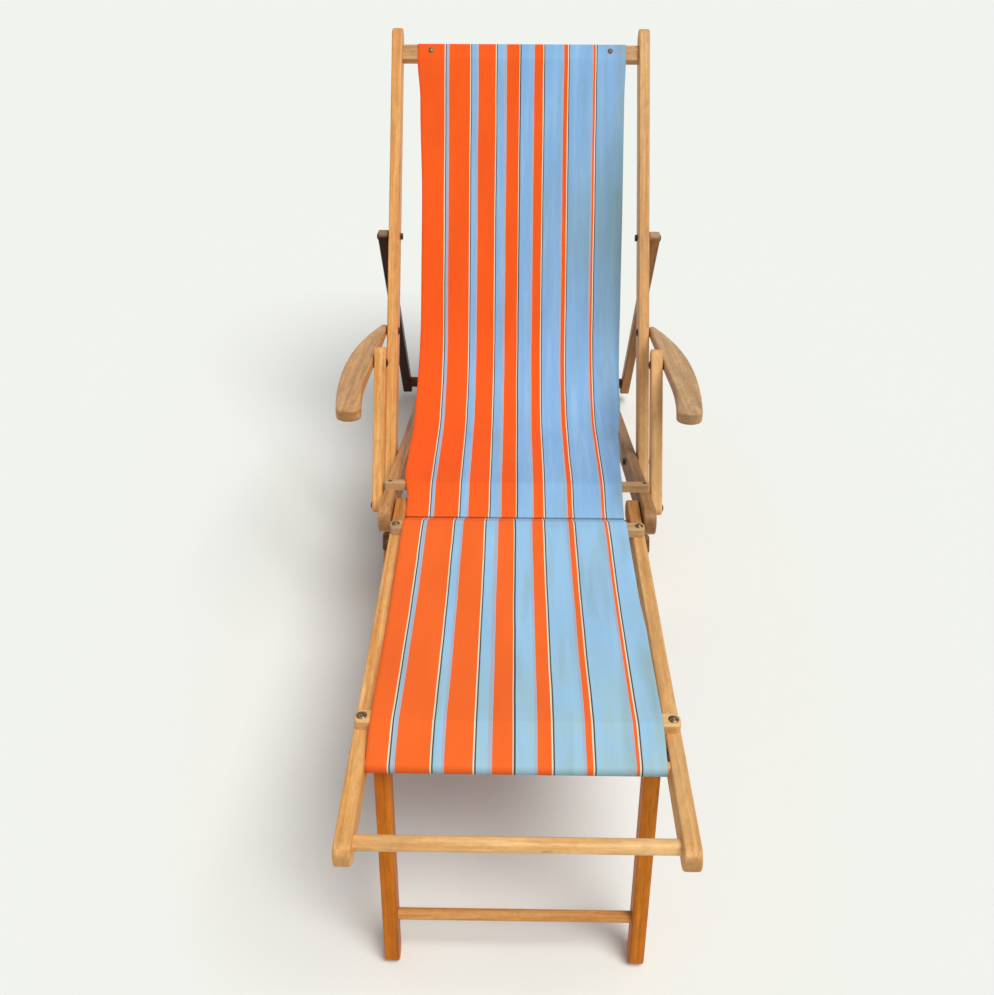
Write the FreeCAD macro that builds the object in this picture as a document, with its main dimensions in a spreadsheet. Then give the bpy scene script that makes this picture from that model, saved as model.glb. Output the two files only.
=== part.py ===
import FreeCAD, Part
import math
import os
import Sketcher
from FreeCAD import Placement, Rotation, Vector

# Steamer deck chair with arms and a footrest, in millimetres and degrees.
# X runs across the chair, Y from the footrest's front (-) to the back (+), Z up from the floor.
# Distances along a rail are measured from the pivot where the back rails cross the seat rails.

DIMENSIONS = {
    # How the frames stand
    "pivot_height": 232.0,
    "back_angle": 48.5,
    "seat_angle": 18.5,
    "footrest_angle": 6.4,
    "leg_angle": 77.6,
    "arm_curl_angle": 8.8,
    "foot_flat": 1.0,
    # Layers of rails across the chair, from the footrest outwards
    "rail_thickness": 22.0,
    "footrest_inner": 200.0,
    "leg_gap": 8.0,
    "layer_gap": 2.0,
    # Back rails
    "back_depth": 44.0,
    "top_bar_distance": 859.0,
    "back_head": 32.0,
    "top_bar_width": 34.0,
    "top_bar_thickness": 20.0,
    "back_lath_distance": 170.0,
    "back_lath_width": 40.0,
    "back_lath_thickness": 14.0,
    # Seat rails
    "seat_depth": 50.0,
    "seat_head": 5.0,
    "pivot_above_centre": 8.0,
    "crossbar_distance": 228.0,
    "crossbar_width": 20.0,
    "crossbar_thickness": 15.0,
    "rear_dowel_setback": 112.0,
    "rear_dowel_radius": 10.0,
    # Prop frame and the notches that hold it
    "prop_distance": 470.0,
    "prop_behind": 6.0,
    "prop_depth": 26.0,
    "prop_tail": 25.0,
    "prop_bar_radius": 13.0,
    "notch_setback": 37.0,
    "prop_bar_rise": 3.0,
    "notch_spacing": 55.0,
    "notch_count": 3,
    "notch_ramp_angle": 40.0,
    "notch_clearance": 0.3,
    # Arms and posts
    "tail_clearance": 8.5,
    "post_below_centre": 10.0,
    "post_depth": 26.0,
    "post_head": 17.0,
    "arm_distance": 268.0,
    "arm_ahead": 4.0,
    "arm_thickness": 20.0,
    "arm_length": 520.0,
    "arm_heel": 8.0,
    "arm_heel_width": 13.0,
    "arm_bow_distance": 250.0,
    "arm_tip_width": 42.0,
    "arm_curl_length": 190.0,
    "arm_edge_radius": 4.0,
    # Footrest
    "footrest_depth": 38.0,
    "hinge_distance": 310.0,
    "hinge_below_centre": 12.0,
    "hinge_above_footrest": 0.7,
    "footrest_head": 12.0,
    "footrest_tail": 50.7,
    "rear_lath_distance": 53.3,
    "knee_lath_behind": 37.0,
    "lath_width": 24.0,
    "lath_thickness": 16.0,
    "lath_corner": 8.0,
    "hinge_bar_radius": 10.0,
    "front_dowel_ahead": 147.0,
    "front_dowel_radius": 10.0,
    "cloth_bar_angle": 18.0,
    "cloth_bar_gap": 2.0,
    "cloth_bar_radius": 9.0,
    # Footrest legs
    "leg_distance": 562.3,
    "leg_depth": 32.0,
    "leg_dowel_height": 73.0,
    "leg_dowel_radius": 8.5,
    # Tenons, edges and fasteners
    "tenon_radius": 7.0,
    "glue_gap": 0.05,
    "edge_radius": 3.0,
    "bolt_radius": 3.5,
    "bolt_clearance": 0.08,
    "open_pivot_clearance": 0.5,
    "bolt_head_radius": 8.5,
    "bolt_head_height": 3.5,
    "head_gap": 0.2,
    "nut_radius": 7.5,
    "nut_height": 5.0,
    "washer_radius": 9.0,
    "washer_clearance": 0.2,
    "spacer_radius": 13.0,
    "pivot_screw_reach": 18.0,
    "heel_cover": 3.0,
    "hinge_screw_reach": 40.0,
    "screw_radius": 2.2,
    "screw_head_radius": 4.2,
    "screw_head_height": 2.2,
    "screw_reach": 17.0,
    "cup_radius": 7.5,
    "cup_height": 2.2,
    # Canvas
    "cloth_thickness": 1.4,
    "cloth_clearance": 0.3,
    "cloth_top_gap": 33.0,
    "cloth_seat_gap": 8.0,
    "cloth_rest_gap": 5.0,
    "cloth_tail": 12.0,
    "sag_radius": 274.0,
    "sag_behind": 22.0,
    "sag_above": 77.0,
    "sag_dish": 7.0,
    "footrest_sag": 7.0,
    "footrest_dish": 2.0,
    "tack_inset": 27.0,
    "tack_rise": 3.0,
    "tack_drop": 4.0,
    "tack_radius": 1.0,
    "tack_length": 8.0,
    "tack_head_radius": 5.5,
    "tack_head_height": 1.4,
    "rear_tack_count": 7,
    "crease_turn": 4.0,
}

SIDES = (("left", -1), ("right", 1))


def add_sheet(doc, name, values):
    """Write one value to each row, with the value's name as its alias."""
    sheet = doc.addObject("Spreadsheet::Sheet", name)
    for row, (alias, value) in enumerate(values.items(), start=1):
        sheet.set(f"A{row}", alias)
        sheet.set(f"B{row}", str(value))
        sheet.setAlias(f"B{row}", alias)
    doc.recompute()
    return sheet


def plane_vector(angle):
    """Unit vector in the side plane, at an angle from +Y towards +Z."""
    turn = math.radians(angle)
    return Vector(0, math.cos(turn), math.sin(turn))


def work_out_layout(d):
    """Work out where the pivots and bars lie from the driving dimensions."""
    back_along = plane_vector(d["back_angle"])
    back_front = plane_vector(d["back_angle"] + 90)
    seat_along = plane_vector(-d["seat_angle"])
    seat_up = plane_vector(90 - d["seat_angle"])
    rest_along = plane_vector(180 - d["footrest_angle"])
    rest_up = plane_vector(90 - d["footrest_angle"])
    leg_down = plane_vector(180 + d["leg_angle"])
    pivot = Vector(0, 0, d["pivot_height"])

    def on_seat(distance, height):
        return pivot + seat_along * distance + seat_up * (height - d["pivot_above_centre"])

    def on_back(distance, ahead):
        return pivot + back_along * distance + back_front * ahead

    hinge = on_seat(-d["hinge_distance"], -d["hinge_below_centre"])

    def on_rest(distance, rise):
        return hinge + rest_along * distance + rest_up * (rise - d["hinge_above_footrest"])

    seat_front = d["hinge_distance"] + d["seat_head"]
    seat_foot_height = d["seat_depth"] / 2 - d["foot_flat"]
    seat_middle_height = on_seat(0, 0).z
    seat_rear = (seat_middle_height - seat_foot_height) / math.sin(math.radians(d["seat_angle"]))
    back_foot_height = d["back_depth"] / 2 - d["foot_flat"]
    back_below = (d["pivot_height"] - back_foot_height) / math.sin(math.radians(d["back_angle"]))
    tail_end = d["footrest_tail"] + d["footrest_depth"] / 2
    post_distance = d["hinge_distance"] - tail_end - d["nut_radius"] - d["tail_clearance"]
    front_dowel = d["leg_distance"] + d["front_dowel_ahead"]
    footrest_front = front_dowel + d["footrest_head"]
    knee_lath = d["leg_distance"] - d["knee_lath_behind"]
    cloth_bar_reach = d["leg_depth"] / 2 + d["cloth_bar_gap"] + d["cloth_bar_radius"]
    cloth_bar_reach += d["cloth_clearance"] + d["cloth_thickness"]
    bar_turn = math.radians(d["cloth_bar_angle"])
    cloth_bar = d["leg_distance"] + cloth_bar_reach * math.cos(bar_turn)
    cloth_bar_rise = cloth_bar_reach * math.sin(bar_turn)
    notch_distance = seat_rear - d["notch_setback"]
    notch_height = d["seat_depth"] / 2 + d["prop_bar_rise"]
    rear_dowel = seat_rear - d["rear_dowel_setback"]
    leg_top = on_rest(d["leg_distance"], 0)
    leg_foot_height = d["leg_depth"] / 2 - d["foot_flat"]
    leg_length = (leg_top.z - leg_foot_height) / math.sin(math.radians(d["leg_angle"]))
    front_reach = on_rest(footrest_front, 0).y - d["footrest_depth"] / 2
    rear_reach = on_seat(seat_rear, 0).y + d["seat_depth"] / 2
    shift = Vector(0, -(front_reach + rear_reach) / 2, 0)

    arm_heel = on_back(d["arm_distance"], d["arm_ahead"])
    post_foot = on_seat(-post_distance, -d["post_below_centre"])
    post_top = post_foot + (arm_heel - pivot)
    prop_top = on_back(d["prop_distance"], -d["prop_behind"])
    prop_bar = on_seat(notch_distance, notch_height)
    points = {
        "pivot": pivot, "hinge": hinge, "arm_heel": arm_heel, "post_foot": post_foot,
        "post_top": post_top, "prop_top": prop_top, "prop_bar": prop_bar, "leg_top": leg_top,
        "back_foot": on_back(-back_below, 0), "seat_front": on_seat(-seat_front, 0),
        "footrest_tail": on_rest(-d["footrest_tail"], 0), "top_bar": on_back(d["top_bar_distance"], 0),
        "back_lath": on_back(-d["back_lath_distance"], d["back_depth"] / 2),
        "crossbar": on_seat(-d["crossbar_distance"], d["seat_depth"] / 2),
        "rear_dowel": on_seat(rear_dowel, 0),
        "rear_lath": on_rest(d["rear_lath_distance"], d["footrest_depth"] / 2),
        "knee_lath": on_rest(knee_lath, d["footrest_depth"] / 2),
        "front_dowel": on_rest(front_dowel, 0),
        "cloth_bar": on_rest(cloth_bar, cloth_bar_rise),
        "leg_dowel": leg_top + leg_down * (leg_length - d["leg_dowel_height"]),
        "sag_centre": pivot + Vector(0, d["sag_behind"], d["sag_above"] + d["sag_radius"]),
    }
    places = {name: point + shift for name, point in points.items()}
    directions = {
        "back": back_along, "back_front": back_front, "seat": seat_along, "seat_up": seat_up,
        "rest": rest_along, "rest_up": rest_up, "leg": leg_down,
        "prop": (prop_bar - prop_top).normalize(), "post": (arm_heel - pivot).normalize(),
        "arm": (post_foot - pivot).normalize(),
    }
    arm_along = directions["arm"]
    directions["arm_up"] = Vector(0, arm_along.z, -arm_along.y)
    lengths = {
        "back_below": back_below,
        "back_length": back_below + d["top_bar_distance"] + d["back_head"],
        "seat_front": seat_front,
        "seat_length": seat_front + seat_rear,
        "post_distance": post_distance,
        "rear_dowel_distance": rear_dowel,
        "notch_distance": notch_distance,
        "notch_bar_height": notch_height,
        "footrest_length": d["footrest_tail"] + footrest_front,
        "knee_lath_distance": knee_lath,
        "front_dowel_distance": front_dowel,
        "cloth_bar_distance": cloth_bar,
        "cloth_bar_rise": cloth_bar_rise,
        "washer_thickness": d["layer_gap"] - 2 * d["washer_clearance"],
        "spacer_thickness": d["leg_gap"] - 2 * d["washer_clearance"],
        "heel_screw_reach": d["arm_heel_width"] - d["heel_cover"],
        "cloth_half_seat": d["footrest_inner"] - d["cloth_seat_gap"],
        "cloth_half_rest": d["footrest_inner"] - d["cloth_rest_gap"],
        "leg_length": leg_length,
        "post_rise": (arm_heel - pivot).Length,
        "post_length": (arm_heel - pivot).Length + d["post_head"],
        "arm_reach": (post_foot - pivot).Length,
        "prop_reach": (prop_bar - prop_top).Length,
        "prop_length": (prop_bar - prop_top).Length + d["prop_tail"],
        "leg_outer": d["footrest_inner"] - d["leg_gap"],
        "leg_inner": d["footrest_inner"] - d["leg_gap"] - d["rail_thickness"],
        "footrest_outer": d["footrest_inner"] + d["rail_thickness"],
        "footrest_lath_half": d["footrest_inner"] + d["rail_thickness"] - 1,
    }
    step = d["rail_thickness"] + d["layer_gap"]
    lengths["seat_inner"] = d["footrest_inner"] + step
    lengths["seat_outer"] = lengths["seat_inner"] + d["rail_thickness"]
    lengths["back_inner"] = lengths["seat_inner"] + step
    lengths["back_outer"] = lengths["back_inner"] + d["rail_thickness"]
    lengths["prop_inner"] = lengths["back_inner"] + step
    lengths["prop_outer"] = lengths["prop_inner"] + d["rail_thickness"]
    lengths["cloth_half_top"] = lengths["back_inner"] - d["cloth_top_gap"]
    return places, directions, lengths


class Chair:
    """The document, its two sheets and the functions that make pieces in it."""

    def __init__(self):
        self.doc = FreeCAD.newDocument("SteamerDeckChair")
        sheet = add_sheet(self.doc, "Dimensions", DIMENSIONS)
        self.size = {alias: float(sheet.get(alias)) for alias in DIMENSIONS}
        self.places, self.directions, self.lengths = work_out_layout(self.size)
        add_sheet(self.doc, "Layout", self.lengths)
        self.nodes = {}

    def keep(self, node, piece):
        """Name a finished sub-part."""
        piece.Label = node
        self.nodes[node] = piece
        return piece

    def cell(self, name):
        """The sheet cell that holds a size."""
        sheet = "Dimensions" if name in self.size else "Layout"
        return f"{sheet}.{name}"

    def value(self, name):
        """A size from either sheet."""
        return self.size[name] if name in self.size else self.lengths[name]

    def side_frame(self, side, point, along, inner):
        """Placement whose x runs along a rail and whose z points out of the chair."""
        outward = Vector(side, 0, 0)
        turn = Rotation(along, outward.cross(along), outward, "ZXY")
        return Placement(Vector(side * inner, point.y, point.z), turn)

    def cross_frame(self, point, up, offset=0):
        """Placement whose x runs across the chair and whose z points away from a rail's face."""
        across = Vector(1, 0, 0)
        return Placement(Vector(offset, point.y, point.z), Rotation(across, up.cross(across), up, "ZXY"))


def new_sketch(body, role, name):
    """A sketch on one of the body's own origin planes."""
    sketch = body.newObject("Sketcher::SketchObject", name)
    plane = next(item for item in body.Origin.OriginFeatures if item.Role == role)
    sketch.AttachmentSupport = [(plane, "")]
    sketch.MapMode = "FlatFace"
    return sketch


def bind(sketch, constraint, expression):
    """Add a constraint and tie its value to the sheet."""
    index = sketch.addConstraint(constraint)
    sketch.setExpression(f"Constraints[{index}]", expression)


def draw_slot(chair, sketch, length, depth):
    """Outline with straight sides and round ends, its first end centred on the origin."""
    reach = chair.value(length)
    half = chair.value(depth) / 2
    upper = sketch.addGeometry(Part.LineSegment(Vector(0, half, 0), Vector(reach, half, 0)))
    lower = sketch.addGeometry(Part.LineSegment(Vector(reach, -half, 0), Vector(0, -half, 0)))
    far = Part.Arc(Vector(reach, -half, 0), Vector(reach + half, 0, 0), Vector(reach, half, 0))
    near = Part.Arc(Vector(0, half, 0), Vector(-half, 0, 0), Vector(0, -half, 0))
    far = sketch.addGeometry(far)
    near = sketch.addGeometry(near)
    sketch.addConstraint(Sketcher.Constraint("Tangent", upper, 2, far, 2))
    sketch.addConstraint(Sketcher.Constraint("Tangent", far, 1, lower, 1))
    sketch.addConstraint(Sketcher.Constraint("Tangent", lower, 2, near, 2))
    sketch.addConstraint(Sketcher.Constraint("Tangent", near, 1, upper, 1))
    sketch.addConstraint(Sketcher.Constraint("Coincident", near, 3, -1, 1))
    sketch.addConstraint(Sketcher.Constraint("PointOnObject", far, 3, -1))
    bind(sketch, Sketcher.Constraint("Radius", near, half), f"{chair.cell(depth)} / 2")
    bind(sketch, Sketcher.Constraint("DistanceX", near, 3, far, 3, reach), chair.cell(length))


def draw_rectangle(sketch, width, height, width_value, height_value):
    """Rectangle centred on the origin, with its width and height tied to the sheet."""
    x, y = width_value / 2, height_value / 2
    corners = [Vector(-x, -y), Vector(x, -y), Vector(x, y), Vector(-x, y)]
    pairs = zip(corners, corners[1:] + corners[:1])
    lines = [sketch.addGeometry(Part.LineSegment(start, end)) for start, end in pairs]
    for first, second in zip(lines, lines[1:] + lines[:1]):
        sketch.addConstraint(Sketcher.Constraint("Coincident", first, 2, second, 1))
    for line, kind in zip(lines, ("Horizontal", "Vertical", "Horizontal", "Vertical")):
        sketch.addConstraint(Sketcher.Constraint(kind, line))
    sketch.addConstraint(Sketcher.Constraint("Symmetric", lines[0], 1, lines[1], 2, -1, 1))
    bind(sketch, Sketcher.Constraint("DistanceX", lines[0], 1, lines[0], 2, 2 * x), width)
    bind(sketch, Sketcher.Constraint("DistanceY", lines[1], 1, lines[1], 2, 2 * y), height)


def draw_circle(sketch, centre, radius):
    """Circle from (expression, value) pairs for its centre's x and y and for its radius."""
    (x_cell, x), (y_cell, y) = centre
    r_cell, r = radius
    circle = sketch.addGeometry(Part.Circle(Vector(x, y, 0), Vector(0, 0, 1), r))
    for kind, value, expression, axis in (("DistanceX", x, x_cell, -2), ("DistanceY", y, y_cell, -1)):
        if expression is None:
            sketch.addConstraint(Sketcher.Constraint("PointOnObject", circle, 3, axis))
        else:
            bind(sketch, Sketcher.Constraint(kind, -1, 1, circle, 3, value), expression)
    bind(sketch, Sketcher.Constraint("Radius", circle, r), r_cell)


def draw_polygon(sketch, corners):
    """Closed outline through the corners, held where it is drawn."""
    for start, end in zip(corners, corners[1:] + corners[:1]):
        line = sketch.addGeometry(Part.LineSegment(start, end))
        sketch.addConstraint(Sketcher.Constraint("Block", line))


def pad(body, sketch, length, midplane=False):
    """Raise a sketch by the length that an expression gives."""
    feature = body.newObject("PartDesign::Pad", "Pad")
    feature.Profile = sketch
    feature.setExpression("Length", length)
    feature.SideType = "Symmetric" if midplane else "One side"
    return feature


def pocket(chair, body, sketch, length, probe=None):
    """Cut a sketch into the body, towards the probe point where one is given."""
    chair.doc.recompute()
    before = body.Shape.Volume
    kept = body.Placement
    feature = body.newObject("PartDesign::Pocket", "Pocket")
    feature.Profile = sketch
    feature.setExpression("Length", length)
    chair.doc.recompute()
    missed = body.Shape.Volume > before - 0.01
    if probe is not None:
        missed = feature.Shape.isInside(probe, 0.001, True)
    if missed:
        feature.Reversed = not feature.Reversed
        chair.doc.recompute()
    if body.Shape.Volume > before - 0.01:
        raise ValueError(f"{body.Label}: {sketch.Label} cuts nothing")
    body.Placement = kept
    return feature


def round_edges(chair, body, radius, wanted):
    """Round the edges of the body's last feature for which wanted(edge) holds."""
    chair.doc.recompute()
    last = body.Tip
    names = [f"Edge{i}" for i, edge in enumerate(last.Shape.Edges, start=1) if wanted(edge)]
    if not names:
        raise ValueError(f"{body.Label}: no edges to round")
    feature = body.newObject("PartDesign::Fillet", "Fillet")
    feature.Base = (last, names)
    feature.setExpression("Radius", radius)
    chair.doc.recompute()
    return feature


def on_outline(thickness, smallest):
    """Test for the long edges of a board's two faces, leaving the edges of its holes."""
    def wanted(edge):
        middle = edge.valueAt((edge.FirstParameter + edge.LastParameter) / 2)
        on_face = edge.BoundBox.ZLength < 0.01 and min(abs(middle.z), abs(middle.z - thickness)) < 0.01
        hole = isinstance(edge.Curve, Part.Circle) and edge.Curve.Radius < smallest
        return on_face and not hole
    return wanted


def bore(chair, radius, clearance):
    """Expression and value of a hole's radius."""
    cell = f"{chair.cell(radius)} + {chair.cell(clearance)}"
    return cell, chair.value(radius) + chair.value(clearance)


def spot(chair, terms, rise=None, sign=1):
    """Centre of a hole, as the sum of signed sizes along a board and one size across it."""
    value = sum((-1 if term[0] == "-" else 1) * chair.value(term.lstrip("-")) for term in terms)
    parts = [f"- {chair.cell(term[1:])}" if term[0] == "-" else f"+ {chair.cell(term)}" for term in terms]
    along = (" ".join(["0"] + parts), value) if terms else (None, 0)
    if rise is None:
        return along, (None, 0)
    return along, (f"{sign} * {chair.cell(rise)}", sign * chair.value(rise))


def make_rail(chair, node, side, start, along, inner, length, depth, holes, screws=(), floor=None):
    """A rail with round ends, bored across for its pivots and from above for its screws.

    Each hole is a centre and a radius, each screw a distance along the rail, and floor names the
    end that is cut level. Rises count towards the rail's upper face whichever way it runs.
    """
    facing = side if along.y > 0 else -side
    body = chair.doc.addObject("PartDesign::Body", node)
    outline = new_sketch(body, "XY_Plane", "Outline")
    draw_slot(chair, outline, length, depth)
    for (along_hole, (rise_cell, rise)), radius in holes:
        if rise_cell is not None:
            rise_cell = f"{facing} * ({rise_cell})"
        draw_circle(outline, (along_hole, (rise_cell, facing * rise)), radius)
    pad(body, outline, chair.cell("rail_thickness"))
    thickness = chair.value("rail_thickness")
    round_edges(chair, body, chair.cell("edge_radius"), on_outline(thickness, chair.value(depth) / 2 - 0.01))
    middle = (f"{chair.cell('rail_thickness')} / 2", thickness / 2)
    for along_hole in screws:
        drill = new_sketch(body, "XZ_Plane", "ScrewHole")
        draw_circle(drill, (along_hole, middle), bore(chair, "screw_radius", "glue_gap"))
        probe = Vector(along_hole[1], facing * chair.value(depth) / 4, thickness / 2)
        pocket(chair, body, drill, chair.cell(depth), probe)
    if floor is not None:
        level = new_sketch(body, "XY_Plane", "FloorCut")
        down = Vector(-along.z, -side * along.y, 0)
        across = Vector(-down.y, down.x, 0)
        radius = chair.value(depth) / 2
        centre = Vector(0 if floor == "near" else chair.value(length), 0, 0)
        middle_point = centre + down * (radius - chair.value("foot_flat"))
        near = [middle_point + across * radius, middle_point - across * radius]
        draw_polygon(level, near + [near[1] + down * radius, near[0] + down * radius])
        pocket(chair, body, level, chair.cell("rail_thickness"))
    body.Placement = chair.side_frame(side, start, along, chair.value(inner))
    return chair.keep(node, body)


def make_lath(chair, node, point, up, half_length, width, thickness, screw_layer):
    """A flat lath on the faces of two rails, with round corners and a screw hole at each end."""
    body = chair.doc.addObject("PartDesign::Body", node)
    plan = new_sketch(body, "XY_Plane", "Plan")
    reach = chair.value(half_length)
    half = chair.value(width) / 2
    draw_rectangle(plan, f"2 * {chair.cell(half_length)}", chair.cell(width), 2 * reach, 2 * half)
    for sign in (-1, 1):
        value = sign * (chair.value(screw_layer) + chair.value("rail_thickness") / 2)
        cell = f"{sign} * ({chair.cell(screw_layer)} + {chair.cell('rail_thickness')} / 2)"
        draw_circle(plan, ((cell, value), (None, 0)), bore(chair, "screw_radius", "glue_gap"))
    pad(body, plan, chair.cell(thickness))
    top = chair.value(thickness)
    corner = f"min({chair.cell('lath_corner')}; {chair.cell(width)} / 2 - 1)"
    round_edges(chair, body, corner, lambda edge: isinstance(edge.Curve, Part.Line)
                and abs(edge.BoundBox.ZLength - top) < 0.01)
    soft = f"min({chair.cell('edge_radius')}; {chair.cell(thickness)} / 4)"
    hole = chair.value("screw_radius") + 1
    round_edges(chair, body, soft, lambda edge: edge.BoundBox.ZMin > top - 0.01
                and not (isinstance(edge.Curve, Part.Circle) and edge.Curve.Radius < hole))
    body.Placement = chair.cross_frame(point, up)
    return chair.keep(node, body)


def make_round_bar(chair, node, point, radius, shoulder, end=None):
    """A round bar between two rails, with a thinner tenon through each of them where end is given."""
    rods = []
    sizes = [("Bar", radius, shoulder)]
    if end is not None:
        sizes.append(("Tenon", "tenon_radius", end))
    for name, size, reach in sizes:
        rod = chair.doc.addObject("Part::Cylinder", f"{node}_{name}")
        rod.setExpression("Radius", chair.cell(size))
        rod.setExpression("Height", f"2 * {chair.cell(reach)}")
        rod.Placement = Placement(Vector(-chair.value(reach), 0, 0), Rotation(Vector(0, 1, 0), 90))
        rods.append(rod)
    joined = rods[0]
    if len(rods) > 1:
        joined = chair.doc.addObject("Part::MultiFuse", node)
        joined.Shapes = rods
    joined.Placement = Placement(Vector(0, point.y, point.z), Rotation()).multiply(joined.Placement)
    return joined


def make_top_bar(chair, node):
    """The flat bar that carries the canvas, with a round tenon through each back rail."""
    body = chair.doc.addObject("PartDesign::Body", node)
    section = new_sketch(body, "YZ_Plane", "Section")
    width, thickness = chair.value("top_bar_width"), chair.value("top_bar_thickness")
    draw_rectangle(section, chair.cell("top_bar_width"), chair.cell("top_bar_thickness"), width, thickness)
    pad(body, section, f"2 * {chair.cell('back_inner')}", midplane=True)
    round_edges(chair, body, chair.cell("edge_radius"), lambda edge: edge.BoundBox.XLength > width)
    tenon = new_sketch(body, "YZ_Plane", "Tenon")
    draw_circle(tenon, ((None, 0), (None, 0)), (chair.cell("tenon_radius"), chair.value("tenon_radius")))
    pad(body, tenon, f"2 * {chair.cell('back_outer')}", midplane=True)
    for label, places, face in (("FrontTacks", front_tacks(chair), 1), ("RearTacks", rear_tacks(chair), -1)):
        drill = new_sketch(body, "XY_Plane", label)
        for x, y in places:
            hole = bore(chair, "tack_radius", "glue_gap")
            draw_circle(drill, ((f"{x}", x), (f"{y}", y)), hole)
        x, y = places[0]
        pocket(chair, body, drill, chair.cell("top_bar_thickness"), Vector(x, y, face * thickness / 4))
    along = chair.directions["back"]
    front = chair.directions["back_front"]
    place = chair.places["top_bar"]
    body.Placement = Placement(Vector(0, place.y, place.z), Rotation(Vector(1, 0, 0), along, front, "XZY"))
    return chair.keep(node, body)


def front_tacks(chair):
    """Places of the two tacks on the bar's front, from its middle."""
    reach = chair.value("cloth_half_top") - chair.value("tack_inset")
    return [(-reach, chair.value("tack_rise")), (reach, chair.value("tack_rise"))]


def rear_tacks(chair):
    """Places of the row of tacks on the bar's rear face, from its middle."""
    reach = chair.value("cloth_half_top") - chair.value("tack_inset")
    count = int(chair.value("rear_tack_count"))
    step = 2 * reach / (count - 1)
    return [(-reach + index * step, -chair.value("tack_drop")) for index in range(count)]


def make_back_frame(chair):
    """Back rails with their top bar and the lath that ties their feet."""
    running = bore(chair, "bolt_radius", "bolt_clearance")
    fixed = bore(chair, "bolt_radius", "glue_gap")
    for name, side in SIDES:
        holes = [
            (spot(chair, ["back_below"]), running),
            (spot(chair, ["back_below", "arm_distance"], "arm_ahead"), running),
            (spot(chair, ["back_below", "prop_distance"], "prop_behind", -1), fixed),
            (spot(chair, ["back_below", "top_bar_distance"]), bore(chair, "tenon_radius", "glue_gap")),
        ]
        lath = spot(chair, ["back_below", "-back_lath_distance"])[0]
        make_rail(chair, f"back_rail_{name}", side, chair.places["back_foot"], chair.directions["back"],
                  "back_inner", "back_length", "back_depth", holes, screws=[lath],
                  floor="near")
    make_top_bar(chair, "top_bar")
    make_lath(chair, "back_foot_lath", chair.places["back_lath"], chair.directions["back_front"],
              "back_outer", "back_lath_width", "back_lath_thickness", "back_inner")


def cut_notches(chair, body, side):
    """Notches in the rail's upper edge, steep behind and sloping in front, for the prop's bar."""
    radius = chair.value("prop_bar_radius") + chair.value("notch_clearance")
    ramp = math.radians(chair.value("notch_ramp_angle"))
    height = chair.value("notch_bar_height")
    above = max(height + radius, chair.value("seat_depth") / 2 + 1)
    sketch = new_sketch(body, "XY_Plane", "Notches")
    for index in range(int(chair.value("notch_count"))):
        middle = chair.value("seat_front") + chair.value("notch_distance")
        middle -= index * chair.value("notch_spacing")
        rear = Vector(middle + radius, side * height)
        bottom = Vector(middle, side * (height - radius))
        tangent = Vector(middle - radius * math.sin(ramp), side * (height - radius * math.cos(ramp)))
        run = (above - height + radius * math.cos(ramp)) / math.tan(ramp)
        ramp_top = Vector(tangent.x - run, side * above)
        rear_top = Vector(rear.x, side * above)
        seat = sketch.addGeometry(Part.Arc(rear, bottom, tangent))
        sketch.addConstraint(Sketcher.Constraint("Block", seat))
        for start, end in ((tangent, ramp_top), (ramp_top, rear_top), (rear_top, rear)):
            line = sketch.addGeometry(Part.LineSegment(start, end))
            sketch.addConstraint(Sketcher.Constraint("Block", line))
    pocket(chair, body, sketch, chair.cell("rail_thickness"))


def make_seat_frame(chair):
    """Seat rails with their notches, the front crossbar and the rear dowel."""
    running = bore(chair, "bolt_radius", "bolt_clearance")
    fixed = bore(chair, "bolt_radius", "glue_gap")
    for name, side in SIDES:
        holes = [
            (spot(chair, ["seat_front"], "pivot_above_centre"), fixed),
            (spot(chair, ["seat_front", "-post_distance"], "post_below_centre", -1), fixed),
            (spot(chair, ["seat_front", "-hinge_distance"], "hinge_below_centre", -1), running),
            (spot(chair, ["seat_front", "rear_dowel_distance"]), bore(chair, "tenon_radius", "glue_gap")),
        ]
        bar = spot(chair, ["seat_front", "-crossbar_distance"])[0]
        node = f"seat_rail_{name}"
        body = make_rail(chair, node, side, chair.places["seat_front"], chair.directions["seat"],
                         "seat_inner", "seat_length", "seat_depth", holes, screws=[bar],
                         floor="far")
        cut_notches(chair, body, side)
    make_lath(chair, "seat_crossbar", chair.places["crossbar"], chair.directions["seat_up"],
              "seat_outer", "crossbar_width", "crossbar_thickness", "seat_inner")
    chair.keep("seat_rear_dowel", make_round_bar(chair, "seat_rear_dowel", chair.places["rear_dowel"],
                                                 "rear_dowel_radius", "seat_inner", "seat_outer"))


def make_prop(chair):
    """Prop legs outside the back rails, with the bar that drops into a notch."""
    for name, side in SIDES:
        holes = [
            (spot(chair, []), bore(chair, "bolt_radius", "bolt_clearance")),
            (spot(chair, ["prop_reach"]), bore(chair, "tenon_radius", "glue_gap")),
        ]
        make_rail(chair, f"prop_leg_{name}", side, chair.places["prop_top"], chair.directions["prop"],
                  "prop_inner", "prop_length", "prop_depth", holes)
    chair.keep("prop_bar", make_round_bar(chair, "prop_bar", chair.places["prop_bar"],
                                          "prop_bar_radius", "prop_inner", "prop_outer"))


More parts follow.
